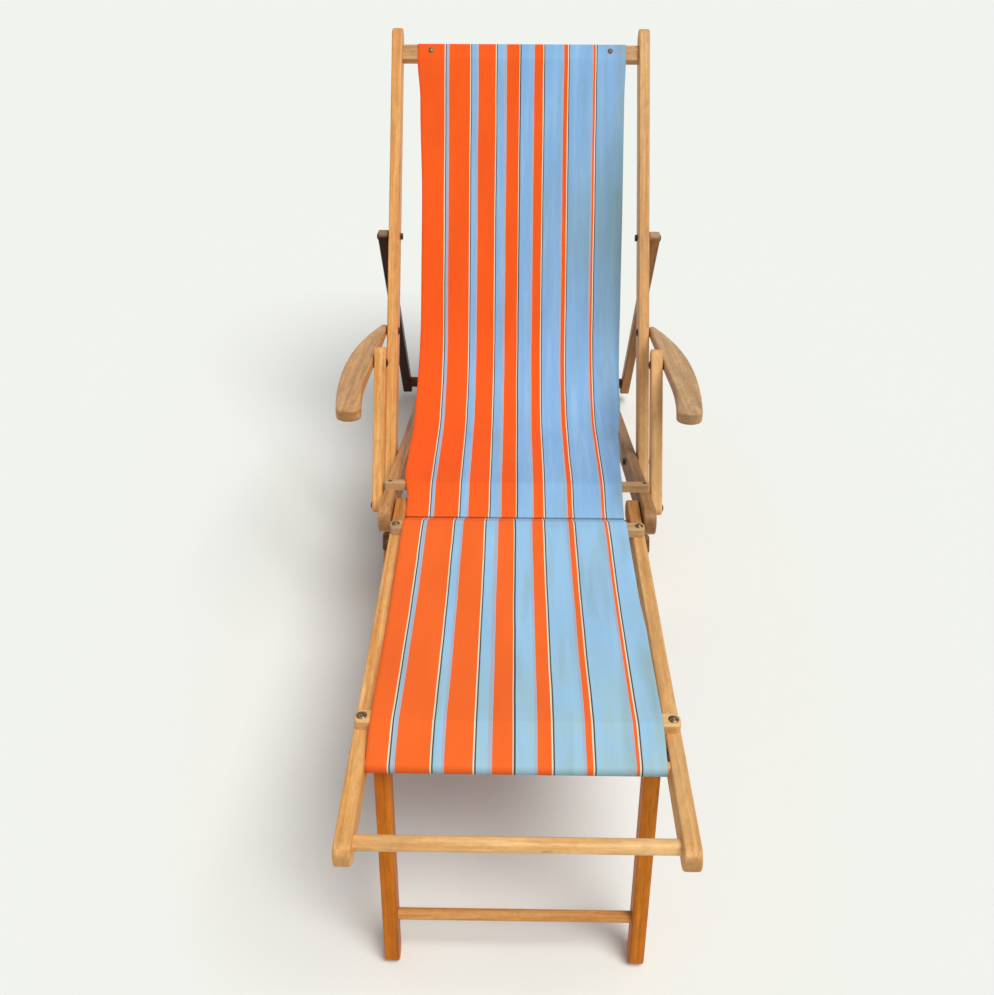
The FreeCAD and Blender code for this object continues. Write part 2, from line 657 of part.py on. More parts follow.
def arm_outline(chair, side):
    """Arm board from above: straight inside, bowed outside, curled in at its round tip.

    Every arc runs smoothly into the next one, and the two long arcs on the outside meet where the
    arm is widest.
    """
    value = chair.value
    turn = math.radians(value("arm_curl_angle"))
    sine, cosine = math.sin(turn), math.cos(turn)
    tip = value("arm_tip_width") / 2
    heel = value("arm_heel_width") / 2
    bend_x = value("arm_length") - value("arm_curl_length")
    tip_x = value("arm_length") - tip - tip * sine
    curl = (tip_x - bend_x) / sine
    inner_tip = (tip_x, -curl * (1 - cosine))
    tip_centre = (inner_tip[0] + tip * sine, inner_tip[1] + tip * cosine)
    outer_tip = (inner_tip[0] + 2 * tip * sine, inner_tip[1] + 2 * tip * cosine)
    bow_x = value("arm_bow_distance")
    front = (outer_tip[0] - bow_x) / sine
    bow_y = outer_tip[1] + front * (1 - cosine)
    rise = bow_y - heel
    reach = bow_x + value("arm_heel")
    rear = (rise * rise + reach * reach - heel * heel) / (2 * (rise - heel))
    heel_centre = (-value("arm_heel"), heel)
    rear_centre = (bow_x, bow_y - rear)
    grow = rear / (rear - heel)
    outer_heel = (rear_centre[0] + (heel_centre[0] - rear_centre[0]) * grow,
                  rear_centre[1] + (heel_centre[1] - rear_centre[1]) * grow)
    inner_heel = (-value("arm_heel"), 0)
    tip_end = (tip_centre[0] + tip * cosine, tip_centre[1] - tip * sine)

    def mirrored(point):
        return Vector(point[0], side * point[1], 0)

    def arc(centre, start, end):
        """Arc of less than half a circle."""
        middle, first, last = mirrored(centre), mirrored(start), mirrored(end)
        toward = (first - middle) + (last - middle)
        return Part.Arc(first, middle + toward.normalize() * (first - middle).Length, last)

    return [
        Part.LineSegment(mirrored(inner_heel), Vector(bend_x, 0, 0)),
        arc((bend_x, -curl), (bend_x, 0), inner_tip),
        Part.Arc(mirrored(inner_tip), mirrored(tip_end), mirrored(outer_tip)),
        arc((bow_x, bow_y - front), outer_tip, (bow_x, bow_y)),
        arc(rear_centre, (bow_x, bow_y), outer_heel),
        arc(heel_centre, outer_heel, inner_heel),
    ]


def make_arms(chair):
    """Arms that widen over their posts and curl in at the tip, and the posts that carry them."""
    value = chair.value
    thickness = value("arm_thickness")
    for name, side in SIDES:
        node = f"arm_{name}"
        body = chair.doc.addObject("PartDesign::Body", node)
        plan = new_sketch(body, "XY_Plane", "Plan")
        for curve in arm_outline(chair, side):
            plan.addConstraint(Sketcher.Constraint("Block", plan.addGeometry(curve)))
        pad(body, plan, chair.cell("arm_thickness"))
        round_edges(chair, body, chair.cell("arm_edge_radius"), on_outline(thickness, 1))
        middle = (f"{chair.cell('arm_thickness')} / 2", thickness / 2)
        for label, terms, reach in (("HeelPivot", [], "heel_screw_reach"),
                                    ("PostPivot", ["arm_reach"], "pivot_screw_reach")):
            drill = new_sketch(body, "XZ_Plane", label)
            along = spot(chair, terms)[0]
            draw_circle(drill, (along, middle), bore(chair, "bolt_radius", "glue_gap"))
            probe = Vector(along[1], side * 2, thickness / 2)
            pocket(chair, body, drill, f"{chair.cell(reach)} + 1", probe)
        start = chair.places["arm_heel"] - chair.directions["arm_up"] * (thickness / 2)
        turn = Rotation(chair.directions["arm"], Vector(1, 0, 0), chair.directions["arm_up"], "ZXY")
        body.Placement = Placement(Vector(side * value("prop_inner"), start.y, start.z), turn)
        chair.keep(node, body)
        holes = [
            (spot(chair, []), bore(chair, "bolt_radius", "bolt_clearance")),
            (spot(chair, ["post_rise"]), bore(chair, "bolt_radius", "open_pivot_clearance")),
        ]
        make_rail(chair, f"arm_post_{name}", side, chair.places["post_foot"], chair.directions["post"],
                  "back_inner", "post_length", "post_depth", holes)


def make_footrest(chair):
    """Footrest rails with their laths and bars, and the pair of legs under them."""
    fixed = bore(chair, "bolt_radius", "glue_gap")
    tenon = bore(chair, "tenon_radius", "glue_gap")
    for name, side in SIDES:
        holes = [
            (spot(chair, ["footrest_tail"], "hinge_above_footrest"), fixed),
            (spot(chair, ["footrest_tail", "leg_distance"]), fixed),
            (spot(chair, ["footrest_tail", "front_dowel_distance"]), tenon),
            (spot(chair, ["footrest_tail", "cloth_bar_distance"], "cloth_bar_rise"), tenon),
        ]
        laths = [spot(chair, ["footrest_tail", distance])[0]
                 for distance in ("rear_lath_distance", "knee_lath_distance")]
        make_rail(chair, f"footrest_rail_{name}", side, chair.places["footrest_tail"],
                  chair.directions["rest"], "footrest_inner", "footrest_length", "footrest_depth",
                  holes, screws=laths)
    for node in ("rear_lath", "knee_lath"):
        make_lath(chair, node, chair.places[node], chair.directions["rest_up"], "footrest_lath_half",
                  "lath_width", "lath_thickness", "footrest_inner")


def make_footrest_legs(chair):
    """The pair of legs under the footrest, with the dowel between them."""
    for name, side in SIDES:
        holes = [
            (spot(chair, []), bore(chair, "bolt_radius", "bolt_clearance")),
            (spot(chair, ["leg_length", "-leg_dowel_height"]), bore(chair, "tenon_radius", "glue_gap")),
        ]
        make_rail(chair, f"footrest_leg_{name}", side, chair.places["leg_top"], chair.directions["leg"],
                  "leg_inner", "leg_length", "leg_depth", holes, floor="far")
    chair.keep("leg_dowel", make_round_bar(chair, "leg_dowel", chair.places["leg_dowel"],
                                           "leg_dowel_radius", "leg_inner", "leg_outer"))


def turned(chair, kind, name, side, point, start, pointing):
    """A turned shape whose axis lies across the chair, its base at start and pointing out or in."""
    shape = chair.doc.addObject(kind, name)
    toward = Vector(side * pointing, 0, 0)
    shape.Placement = Placement(Vector(side * start, point.y, point.z), Rotation(Vector(0, 0, 1), toward))
    return shape


def make_rod(chair, name, side, point, start, pointing, radius, length, kind="Part::Cylinder"):
    """A rod, or a hexagon prism, with its radius and length tied to the sheet."""
    rod = turned(chair, kind, name, side, point, start, pointing)
    if kind == "Part::Prism":
        rod.Polygon = 6
        rod.setExpression("Circumradius", radius)
    else:
        rod.setExpression("Radius", radius)
    rod.setExpression("Height", length)
    return rod


def make_dome(chair, name, place, radius, height):
    """A shallow domed head that stands on its place's plane."""
    dome = chair.doc.addObject("Part::Sphere", name)
    r, h = chair.value(radius), chair.value(height)
    sphere = (r * r + h * h) / (2 * h)
    r_cell, h_cell = chair.cell(radius), chair.cell(height)
    dome.setExpression("Radius", f"({r_cell} ^ 2 + {h_cell} ^ 2) / (2 * {h_cell})")
    dome.Angle1 = math.degrees(math.asin((sphere - h) / sphere))
    dome.Placement = place.multiply(Placement(Vector(0, 0, h - sphere), Rotation()))
    return dome


def make_ring(chair, name, side, point, start, radius, bore_radius, length, kind="Part::Cylinder"):
    """A washer, spacer or nut round a bolt, from start outwards."""
    outer = make_rod(chair, f"{name}_outer", side, point, start, 1, radius, length, kind)
    inner = make_rod(chair, f"{name}_bore", side, point, start, 1, bore_radius, length)
    ring = chair.doc.addObject("Part::Cut", name)
    ring.Base = outer
    ring.Tool = inner
    return ring


def make_bolt(chair, name, side, point, head_at, pointing, length, radius="bolt_radius"):
    """A bolt with a domed head at head_at, its shank running the other way."""
    toward = Vector(side * pointing, 0, 0)
    seat = Placement(Vector(side * head_at, point.y, point.z), Rotation(Vector(0, 0, 1), toward))
    head = make_dome(chair, f"{name}_head", seat, "bolt_head_radius", "bolt_head_height")
    shank = make_rod(chair, f"{name}_shank", side, point, head_at, -pointing, chair.cell(radius), length)
    bolt = chair.doc.addObject("Part::MultiFuse", name)
    bolt.Shapes = [head, shank]
    return bolt


def keep_group(chair, node, members):
    """Identical fasteners as one sub-part."""
    group = chair.doc.addObject("Part::Compound", node)
    group.Links = members
    return chair.keep(node, group)


def make_pivot_bolts(chair, node, point, outer, inner, washers):
    """A bolt with its head outside, its nut inside and a ring in each gap between the rails.

    outer and inner are the layers that the bolt clamps, and washers gives a node, a layer under the
    ring, the gap, the ring's radius and its thickness for each ring.
    """
    bolts, nuts = [], []
    reach = f"{chair.cell(outer)} - {chair.cell(inner)} + {chair.cell('nut_height')}"
    nut_bore = bore(chair, "bolt_radius", "glue_gap")[0]
    for name, side in SIDES:
        head_at = chair.value(outer) + chair.value("head_gap")
        length = f"{reach} + 2 * {chair.cell('head_gap')}"
        bolts.append(make_bolt(chair, f"{node}_bolt_{name}", side, point, head_at, 1, length))
        start = chair.value(inner) - chair.value("nut_height") - chair.value("head_gap") / 4
        nuts.append(make_ring(chair, f"{node}_nut_{name}", side, point, start, chair.cell("nut_radius"),
                              nut_bore, chair.cell("nut_height"), "Part::Prism"))
    keep_group(chair, f"{node}_bolts", bolts)
    keep_group(chair, f"{node}_nuts", nuts)
    for label, layer, gap, radius, thickness in washers:
        make_washers(chair, label, point, layer, gap, radius, thickness)


def make_washers(chair, node, point, layer, gap, radius, thickness):
    """A ring on each side in the gap that starts at a layer's outer face."""
    rings = []
    for name, side in SIDES:
        start = chair.value(layer) + (chair.value(gap) - chair.value(thickness)) / 2
        rings.append(make_ring(chair, f"{node}_{name}", side, point, start, chair.cell(radius),
                               bore(chair, "bolt_radius", "bolt_clearance")[0], chair.cell(thickness)))
    keep_group(chair, node, rings)


def make_pivots(chair):
    """Bolts, washers, nuts and screws of every pivot, and the hinge bar between the footrest rails."""
    places = chair.places
    plain = ("layer_gap", "washer_radius", "washer_thickness")
    make_pivot_bolts(chair, "back_pivot", places["pivot"], "back_outer", "seat_inner",
                     [("back_pivot_washers", "seat_outer", *plain)])
    make_pivot_bolts(chair, "post_pivot", places["post_foot"], "back_outer", "seat_inner",
                     [("post_pivot_washers", "seat_outer", *plain)])
    make_pivot_bolts(chair, "prop_pivot", places["prop_top"], "prop_outer", "back_inner",
                     [("prop_pivot_washers", "back_outer", *plain)])
    make_pivot_bolts(chair, "leg_pivot", places["leg_top"], "footrest_outer", "leg_inner",
                     [("leg_pivot_spacers", "leg_outer", "leg_gap", "spacer_radius", "spacer_thickness")])
    for name, side in SIDES:
        screws, rings = [], []
        for label, point, reach in (("heel", places["arm_heel"], "heel_screw_reach"),
                                    ("post", places["post_top"], "pivot_screw_reach")):
            parts = ("rail_thickness", "layer_gap", reach, "head_gap")
            length = " + ".join(chair.cell(part) for part in parts)
            head_at = chair.value("back_inner") - chair.value("head_gap")
            screws.append(make_bolt(chair, f"arm_{label}_screw_{name}", side, point, head_at, -1, length))
            start = chair.value("back_outer") + chair.value("washer_clearance")
            rings.append(make_ring(chair, f"arm_{label}_washer_{name}", side, point, start,
                                   chair.cell("washer_radius"),
                                   bore(chair, "bolt_radius", "bolt_clearance")[0],
                                   chair.cell("washer_thickness")))
        keep_group(chair, f"arm_screws_{name}", screws)
        keep_group(chair, f"arm_washers_{name}", rings)
    make_washers(chair, "hinge_washers", places["hinge"], "footrest_outer", *plain)
    screws = []
    length = f"{chair.cell('seat_outer')} - {chair.cell('footrest_inner')}"
    length = f"{length} + {chair.cell('hinge_screw_reach')} + {chair.cell('head_gap')}"
    for name, side in SIDES:
        head_at = chair.value("seat_outer") + chair.value("head_gap")
        screws.append(make_bolt(chair, f"hinge_screw_{name}", side, places["hinge"], head_at, 1, length))
    keep_group(chair, "hinge_screws", screws)
    solid = make_round_bar(chair, "hinge_bar_round", places["hinge"], "hinge_bar_radius", "footrest_inner")
    ends = []
    for name, side in SIDES:
        ends.append(make_rod(chair, f"hinge_bar_bore_{name}", side, places["hinge"],
                             chair.value("footrest_inner"), -1, bore(chair, "bolt_radius", "glue_gap")[0],
                             f"{chair.cell('hinge_screw_reach')} + 1"))
    drilled = chair.doc.addObject("Part::MultiFuse", "hinge_bar_bores")
    drilled.Shapes = ends
    bar = chair.doc.addObject("Part::Cut", "hinge_bar")
    bar.Base = solid
    bar.Tool = drilled
    chair.keep("hinge_bar", bar)


def make_bars(chair):
    """The two bars at the footrest's front: one for the canvas, one to tie the rails."""
    for node, radius in (("canvas_bar", "cloth_bar_radius"), ("front_dowel", "front_dowel_radius")):
        place = chair.places["cloth_bar" if node == "canvas_bar" else node]
        bar = make_round_bar(chair, node, place, radius, "footrest_inner", "footrest_outer")
        chair.keep(node, bar)


def make_screws(chair):
    """Wood screws of the laths and crossbars, with a cup under the heads on the footrest."""
    groups = (
        ("back_lath_screws", ("back_lath",), "back_front", "back_inner", "back_lath_thickness", "back_depth"),
        ("crossbar_screws", ("crossbar",), "seat_up", "seat_inner", "crossbar_thickness", "seat_depth"),
        ("lath_screws", ("rear_lath", "knee_lath"), "rest_up", "footrest_inner", "lath_thickness",
         "footrest_depth"),
    )
    cups = []
    for node, spots, direction, layer, thickness, depth in groups:
        up = chair.directions[direction]
        cupped = node == "lath_screws"
        screws = []
        for index, place in enumerate(spots):
            for name, side in SIDES:
                across = side * (chair.value(layer) + chair.value("rail_thickness") / 2)
                base = chair.cross_frame(chair.places[place], up, across)
                height = chair.value(thickness) + (chair.value("cup_height") if cupped else 0)
                cell = chair.cell(thickness) + (f" + {chair.cell('cup_height')}" if cupped else "")
                seat = base.multiply(Placement(Vector(0, 0, height), Rotation()))
                label = f"{node}_{index}_{name}"
                head = make_dome(chair, f"{label}_head", seat, "screw_head_radius", "screw_head_height")
                shank = chair.doc.addObject("Part::Cylinder", f"{label}_shank")
                reach = f"min({chair.cell('screw_reach')}; {chair.cell(depth)} / 2 - 1)"
                shank.setExpression("Radius", chair.cell("screw_radius"))
                shank.setExpression("Height", f"{cell} + {reach}")
                short = min(chair.value("screw_reach"), chair.value(depth) / 2 - 1)
                shank.Placement = base.multiply(Placement(Vector(0, 0, -short), Rotation()))
                screw = chair.doc.addObject("Part::MultiFuse", label)
                screw.Shapes = [head, shank]
                screws.append(screw)
                if cupped:
                    cups.append(make_cup(chair, f"cup_{index}_{place}_{name}", base, thickness))
        keep_group(chair, node, screws)
    keep_group(chair, "lath_cups", cups)


def make_cup(chair, label, base, thickness):
    """A pressed cup that spreads a screw head's load on a lath."""
    place = base.multiply(Placement(Vector(0, 0, chair.value(thickness)), Rotation()))
    outer = chair.doc.addObject("Part::Cone", f"{label}_outer")
    outer.setExpression("Radius1", chair.cell("cup_radius"))
    outer.setExpression("Radius2", f"{chair.cell('screw_head_radius')} + 0.8")
    outer.setExpression("Height", chair.cell("cup_height"))
    inner = chair.doc.addObject("Part::Cylinder", f"{label}_bore")
    inner.setExpression("Radius", bore(chair, "screw_radius", "glue_gap")[0])
    inner.setExpression("Height", chair.cell("cup_height"))
    for piece in (outer, inner):
        piece.Placement = place
    cup = chair.doc.addObject("Part::Cut", label)
    cup.Base = outer
    cup.Tool = inner
    return cup


class Canvas:
    """Side profile of the canvas: points on its middle surface with the normals there."""

    def __init__(self, chair):
        self.chair = chair
        self.stations = []

    def add(self, point, angle, dish=0.0):
        self.stations.append((point, angle, dish))

    def wrap(self, centre, radius, angles, dish=0.0):
        """Follow a round edge from one normal to the next."""
        for angle in angles:
            self.add(centre + plane_vector(angle) * radius, angle, dish)


def lean(vector):
    """Angle of a vector in the side plane, from +Y towards +Z."""
    return math.degrees(math.atan2(vector.z, vector.y)) % 360


def bend_angle(first, first_radius, second, second_radius, near):
    """Normal of the line that touches two circles, the radius negative where the line passes inside."""
    line = second - first
    ratio = (first_radius - second_radius) / line.Length
    swing = math.degrees(math.acos(ratio))
    options = [lean(line) + swing, lean(line) - swing]
    return min((angle % 360 for angle in options), key=lambda angle: abs(angle - near))


def crossbar_corner(chair):
    """Centre of the rounding on the crossbar's front top edge."""
    up, edge = chair.directions["seat_up"], chair.value("edge_radius")
    corner = chair.places["crossbar"] + up * (chair.value("crossbar_thickness") - edge)
    return corner - chair.directions["seat"] * (chair.value("crossbar_width") / 2 - edge)


def crease_angle(chair):
    """Where the canvas's two pieces meet on the hinge bar, from +Y towards +Z."""
    skin = chair.value("cloth_clearance") + chair.value("cloth_thickness") / 2
    reach = chair.value("hinge_bar_radius") + skin
    edge = chair.value("edge_radius") + skin
    onward = bend_angle(crossbar_corner(chair), edge, chair.places["hinge"], reach, 90)
    return onward + chair.value("crease_turn")


def seat_profile(chair):
    """The canvas from the back of the top bar down to the crease on the hinge bar."""
    value = chair.value
    along, front = chair.directions["back"], chair.directions["back_front"]
    bar = chair.places["top_bar"]
    skin = value("cloth_clearance") + value("cloth_thickness") / 2
    edge = value("edge_radius")
    half_wide, half_thick = value("top_bar_width") / 2, value("top_bar_thickness") / 2
    back = value("back_angle")

    def on_bar(up, ahead):
        return bar + along * up + front * ahead

    canvas = Canvas(chair)
    canvas.add(on_bar(-value("cloth_tail"), -half_thick - skin), back - 90)
    rear_corner = on_bar(half_wide - edge, -half_thick + edge)
    top_corner = on_bar(half_wide - edge, half_thick - edge)
    low_corner = on_bar(edge - half_wide, half_thick - edge)
    canvas.wrap(rear_corner, edge + skin, (back - 90, back - 45, back))
    canvas.wrap(top_corner, edge + skin, (back, back + 45, back + 90))
    sag = chair.places["sag_centre"]
    radius = value("sag_radius")
    leave = bend_angle(low_corner, edge + skin, sag, -radius, back + 100)
    canvas.wrap(low_corner, edge + skin, (back + 90, leave))
    crossbar = crossbar_corner(chair)
    arrive = bend_angle(sag, -radius, crossbar, edge + skin, 80)
    canvas.stations.append((sag - plane_vector(leave) * radius, leave, 2.0))
    steps = 7
    for step in range(1, steps):
        angle = leave + (arrive - leave) * step / steps
        canvas.add(sag - plane_vector(angle) * radius, angle, value("sag_dish"))
    canvas.add(sag - plane_vector(arrive) * radius, arrive, value("sag_dish") * 0.5)
    hinge = chair.places["hinge"]
    over = value("hinge_bar_radius") + skin
    onward = bend_angle(crossbar, edge + skin, hinge, over, 90)
    canvas.wrap(crossbar, edge + skin, (arrive, onward))
    canvas.wrap(hinge, over, (onward, crease_angle(chair)))
    return canvas


def footrest_profile(chair):
    """The canvas from the crease, over both laths and round the canvas bar."""
    value = chair.value
    along, up = chair.directions["rest"], chair.directions["rest_up"]
    skin = value("cloth_clearance") + value("cloth_thickness") / 2
    edge = min(value("edge_radius"), value("lath_thickness") / 4)
    face = lean(up)
    inset = value("lath_width") / 2 - edge
    rise = value("lath_thickness") - edge
    hinge = chair.places["hinge"]
    over = value("hinge_bar_radius") + skin
    crease = crease_angle(chair) + math.degrees(skin / over)
    start = hinge + plane_vector(crease) * over
    rear = chair.places["rear_lath"] + up * rise
    knee = chair.places["knee_lath"] + up * rise
    canvas = Canvas(chair)
    climb = bend_angle(start, 0.0, rear - along * inset, edge + skin, face - 60)
    canvas.add(start, climb)
    slope = math.degrees(math.atan(4 * value("footrest_sag") / ((knee - rear).Length - 2 * inset)))
    canvas.wrap(rear - along * inset, edge + skin, (climb, (climb + face) / 2, face))
    canvas.wrap(rear + along * inset, edge + skin, (face, face + slope))
    first, second = rear + along * inset, knee - along * inset
    first = first + plane_vector(face + slope) * (edge + skin)
    second = second + plane_vector(face - slope) * (edge + skin)
    for share in (0.2, 0.4, 0.6, 0.8):
        point = first + (second - first) * share
        drop = 4 * value("footrest_sag") * share * (1 - share)
        angle = face + slope * (1 - 2 * share)
        canvas.add(point - up * drop, angle, value("footrest_dish"))
    canvas.wrap(knee - along * inset, edge + skin, (face - slope, face))
    bar = chair.places["cloth_bar"]
    reach = value("cloth_bar_radius") + skin
    leave = bend_angle(knee + along * inset, edge + skin, bar, reach, face + 20)
    canvas.wrap(knee + along * inset, edge + skin, (face, leave))
    canvas.wrap(bar, reach, [leave + 190 * step / 8 for step in range(9)])
    return canvas


def make_canvas(chair, node, canvas, first_half, last_half, holes=()):
    """Closed cloth solid lofted through the stations of a profile."""
    half_thick = chair.value("cloth_thickness") / 2
    points = [station[0] for station in canvas.stations]
    steps = [0.0]
    for before, after in zip(points, points[1:]):
        steps.append(steps[-1] + (after - before).Length)
    wires = []
    for (point, angle, dish), done in zip(canvas.stations, steps):
        normal = plane_vector(angle)
        half = first_half + (last_half - first_half) * done / steps[-1]
        across = Vector(half, 0, 0)
        upper, lower = point + normal * half_thick, point - normal * half_thick
        top = cloth_edge(upper - across, upper - normal * dish, upper + across)
        bottom = cloth_edge(lower + across, lower - normal * dish, lower - across)
        sides = [Part.makeLine(upper + across, lower + across), Part.makeLine(lower - across, upper - across)]
        wires.append(Part.Wire([top, sides[0], bottom, sides[1]]))
    shape = Part.makeLoft(wires, True, True)
    for hole in holes:
        shape = shape.cut(hole)
    if len(shape.Solids) != 1:
        raise ValueError(f"{node}: {len(shape.Solids)} solids")
    piece = chair.doc.addObject("Part::Feature", node)
    piece.Shape = shape.Solids[0]
    piece.Placement = Placement()
    return chair.keep(node, piece)


def cloth_edge(start, middle, end):
    """One long edge of a cloth section, straight where it has no dish."""
    chord = (end - start).normalize()
    if (middle - start).cross(chord).Length < 0.01:
        return Part.makeLine(start, end)
    return Part.Arc(start, middle, end).toShape()


def make_tacks(chair):
    """Tacks through the canvas into the top bar, and the holes that they need in the canvas."""
    along, front = chair.directions["back"], chair.directions["back_front"]
    bar = chair.places["top_bar"]
    surface = chair.value("top_bar_thickness") / 2 + chair.value("cloth_clearance")
    surface += chair.value("cloth_thickness") + chair.value("cloth_clearance") / 2
    tacks, holes = [], []
    for face, places in ((1, front_tacks(chair)), (-1, rear_tacks(chair))):
        for index, (x, y) in enumerate(places):
            toward = front * face
            point = bar + along * y + toward * surface
            seat = chair.cross_frame(point, toward, x)
            label = f"tack_{'front' if face > 0 else 'rear'}_{index}"
            head = make_dome(chair, f"{label}_head", seat, "tack_head_radius", "tack_head_height")
            shank = chair.doc.addObject("Part::Cylinder", f"{label}_shank")
            shank.setExpression("Radius", chair.cell("tack_radius"))
            shank.setExpression("Height", chair.cell("tack_length"))
            shank.Placement = seat.multiply(Placement(Vector(0, 0, -chair.value("tack_length")), Rotation()))
            tack = chair.doc.addObject("Part::MultiFuse", label)
            tack.Shapes = [head, shank]
            tacks.append(tack)
            radius = chair.value("tack_radius") + chair.value("glue_gap")
            holes.append(Part.makeCylinder(radius, 6, seat.Base - toward * 4, toward))
    keep_group(chair, "canvas_tacks", tacks)
    return holes


def make_cloth(chair):
    """The canvas sling in two pieces that meet at the crease, and its tacks."""
    holes = make_tacks(chair)
    value = chair.value
    make_canvas(chair, "canvas_seat", seat_profile(chair), value("cloth_half_top"), value("cloth_half_seat"),
                holes)
    make_canvas(chair, "canvas_footrest", footrest_profile(chair), value("cloth_half_seat"),
                value("cloth_half_rest"))


def check_document(chair):
    """Stop where an object or a sub-part has come out wrong."""
    chair.doc.recompute()
    for item in chair.doc.Objects:
        if "Invalid" in item.State or "Error" in item.State:
            raise ValueError(f"{item.Label} has state {item.State}")
    for node, piece in chair.nodes.items():
        shape = piece.Shape
        if shape.isNull() or not shape.isValid() or not shape.Solids:
            raise ValueError(f"{node} has no valid solid")


def main():
    chair = Chair()
    make_back_frame(chair)
    make_seat_frame(chair)
    make_prop(chair)
    make_arms(chair)
    make_footrest(chair)
    make_footrest_legs(chair)
    make_bars(chair)
    make_pivots(chair)
    make_screws(chair)
    make_cloth(chair)
    check_document(chair)
    os.makedirs("parts", exist_ok=True)
    for node, piece in chair.nodes.items():
        piece.Shape.exportStep(f"parts/{node}.step")


main()
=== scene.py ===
"""Steamer deck chair in worn varnished beech, dark iron and a striped canvas sling.

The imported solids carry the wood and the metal. The canvas is cut, hung and hemmed here, and the screws
get their slots.
"""

import logging
import math
from dataclasses import dataclass
from enum import Enum

import bpy
from mathutils import Matrix, Vector, noise

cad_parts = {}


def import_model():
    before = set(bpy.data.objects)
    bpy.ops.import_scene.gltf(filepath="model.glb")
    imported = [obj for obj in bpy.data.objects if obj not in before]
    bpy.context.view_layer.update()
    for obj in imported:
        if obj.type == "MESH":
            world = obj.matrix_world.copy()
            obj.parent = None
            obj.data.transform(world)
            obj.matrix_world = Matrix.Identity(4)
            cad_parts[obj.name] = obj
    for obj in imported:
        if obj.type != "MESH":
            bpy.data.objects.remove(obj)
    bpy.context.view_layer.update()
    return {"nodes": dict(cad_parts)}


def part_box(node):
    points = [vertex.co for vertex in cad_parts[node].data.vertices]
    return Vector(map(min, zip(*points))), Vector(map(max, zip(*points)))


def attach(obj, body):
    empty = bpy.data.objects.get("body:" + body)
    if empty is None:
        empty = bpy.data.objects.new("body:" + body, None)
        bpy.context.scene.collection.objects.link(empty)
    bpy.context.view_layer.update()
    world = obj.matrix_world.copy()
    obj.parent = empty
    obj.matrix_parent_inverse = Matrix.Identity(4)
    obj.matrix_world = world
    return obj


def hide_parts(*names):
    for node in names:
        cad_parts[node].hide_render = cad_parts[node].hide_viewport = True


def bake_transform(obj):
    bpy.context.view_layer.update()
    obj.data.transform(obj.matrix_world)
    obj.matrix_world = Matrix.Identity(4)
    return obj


LOG = logging.getLogger("deck_chair")
MM = 0.001
IMAGE_HEIGHT = 995
# Slopes of the back, the seat and the footrest at rest, in degrees from level.
BACK_ANGLE = 48.5
SEAT_ANGLE = 18.5
REST_ANGLE = 6.4
# Where in the timber the boards are cut, in metres: the first place, and the step from each to the next.
CUT_START = (0.11, 0.0, 0.05)
CUT_STEP = (0.37, 0.83, 0.29)
# Noise keeps mostly between these values.
USUAL = (0.3, 0.7)

Colour = tuple[float, float, float, float]
EdgeLine = tuple[tuple[float, float], ...]
Socket = bpy.types.NodeSocket
Tree = bpy.types.NodeTree


class Grain(Enum):
    """Which way the boards of a part run."""

    SIDE = "in the side plane"
    ACROSS = "from side to side"


class Touch(Enum):
    """How the canvas meets what it passes."""

    LIES = "lies on it"
    CLEAR = "hangs clear"


class Blend(Enum):
    """How a coat goes over the colour below it, in Blender's words."""

    COVER = "MIX"
    STAIN = "MULTIPLY"


def linear(code: str) -> Colour:
    """Turn a colour into what a shader takes.

    Args:
        code: sRGB colour as a hex string.

    Returns:
        Linear red, green, blue and an alpha of 1.
    """
    channels = [int(code[start:start + 2], 16) / 255 for start in (1, 3, 5)]
    red, green, blue = (c / 12.92 if c <= 0.04045 else ((c + 0.055) / 1.055) ** 2.4 for c in channels)
    return (red, green, blue, 1.0)


def add_node(tree: Tree, kind: str, inputs: dict | tuple = (),
             stops: list[tuple[float, Colour]] | None = None, **settings: object) -> bpy.types.Node:
    """Add one shader node.

    Args:
        tree: Node tree that takes the node.
        kind: Blender's name for the node.
        inputs: Values, or outputs that feed the sockets, in their order or by socket name or number.
        stops: Places and colours of a colour ramp.
        settings: Settings of the node itself.

    Returns:
        The new node.
    """
    made = tree.nodes.new(kind)
    for name, value in settings.items():
        setattr(made.color_ramp if name == "interpolation" else made, name, value)
    if stops:
        elements = made.color_ramp.elements
        elements.remove(elements[1])
        elements[0].position, elements[0].color = stops[0]
        for place, colour in stops[1:]:
            elements.new(place).color = colour
    for key, value in inputs.items() if isinstance(inputs, dict) else enumerate(inputs):
        if isinstance(value, Socket):
            tree.links.new(value, made.inputs[key])
        else:
            made.inputs[key].default_value = value
    return made


def new_material(name: str) -> tuple[bpy.types.Material, Tree]:
    """Make an empty material.

    Args:
        name: Name of the material.

    Returns:
        The material and its node tree.
    """
    material = bpy.data.materials.new(name)
    material.use_nodes = True
    material.node_tree.nodes.clear()
    return material, material.node_tree


def put_on(piece: bpy.types.Object, material: bpy.types.Material) -> None:
    """Make a material the only one of a piece.

    Args:
        piece: Piece or CAD node.
        material: What it is made of.
    """
    if piece.material_slots:
        for place in piece.material_slots:
            place.material = material
    else:
        piece.data.materials.append(material)


def new_piece(name: str, vertices: list[Vector], faces: list[tuple[int, ...]]) -> bpy.types.Object:
    """Make a mesh and put it in the scene.

    Args:
        name: Name of the piece.
        vertices: Its corners in metres.
        faces: Numbers of the corners round each face.

    Returns:
        The piece.
    """
    mesh = bpy.data.meshes.new(name)
    mesh.from_pydata(vertices, [], faces)
    piece = bpy.data.objects.new(name, mesh)
    bpy.context.scene.collection.objects.link(piece)
    return piece


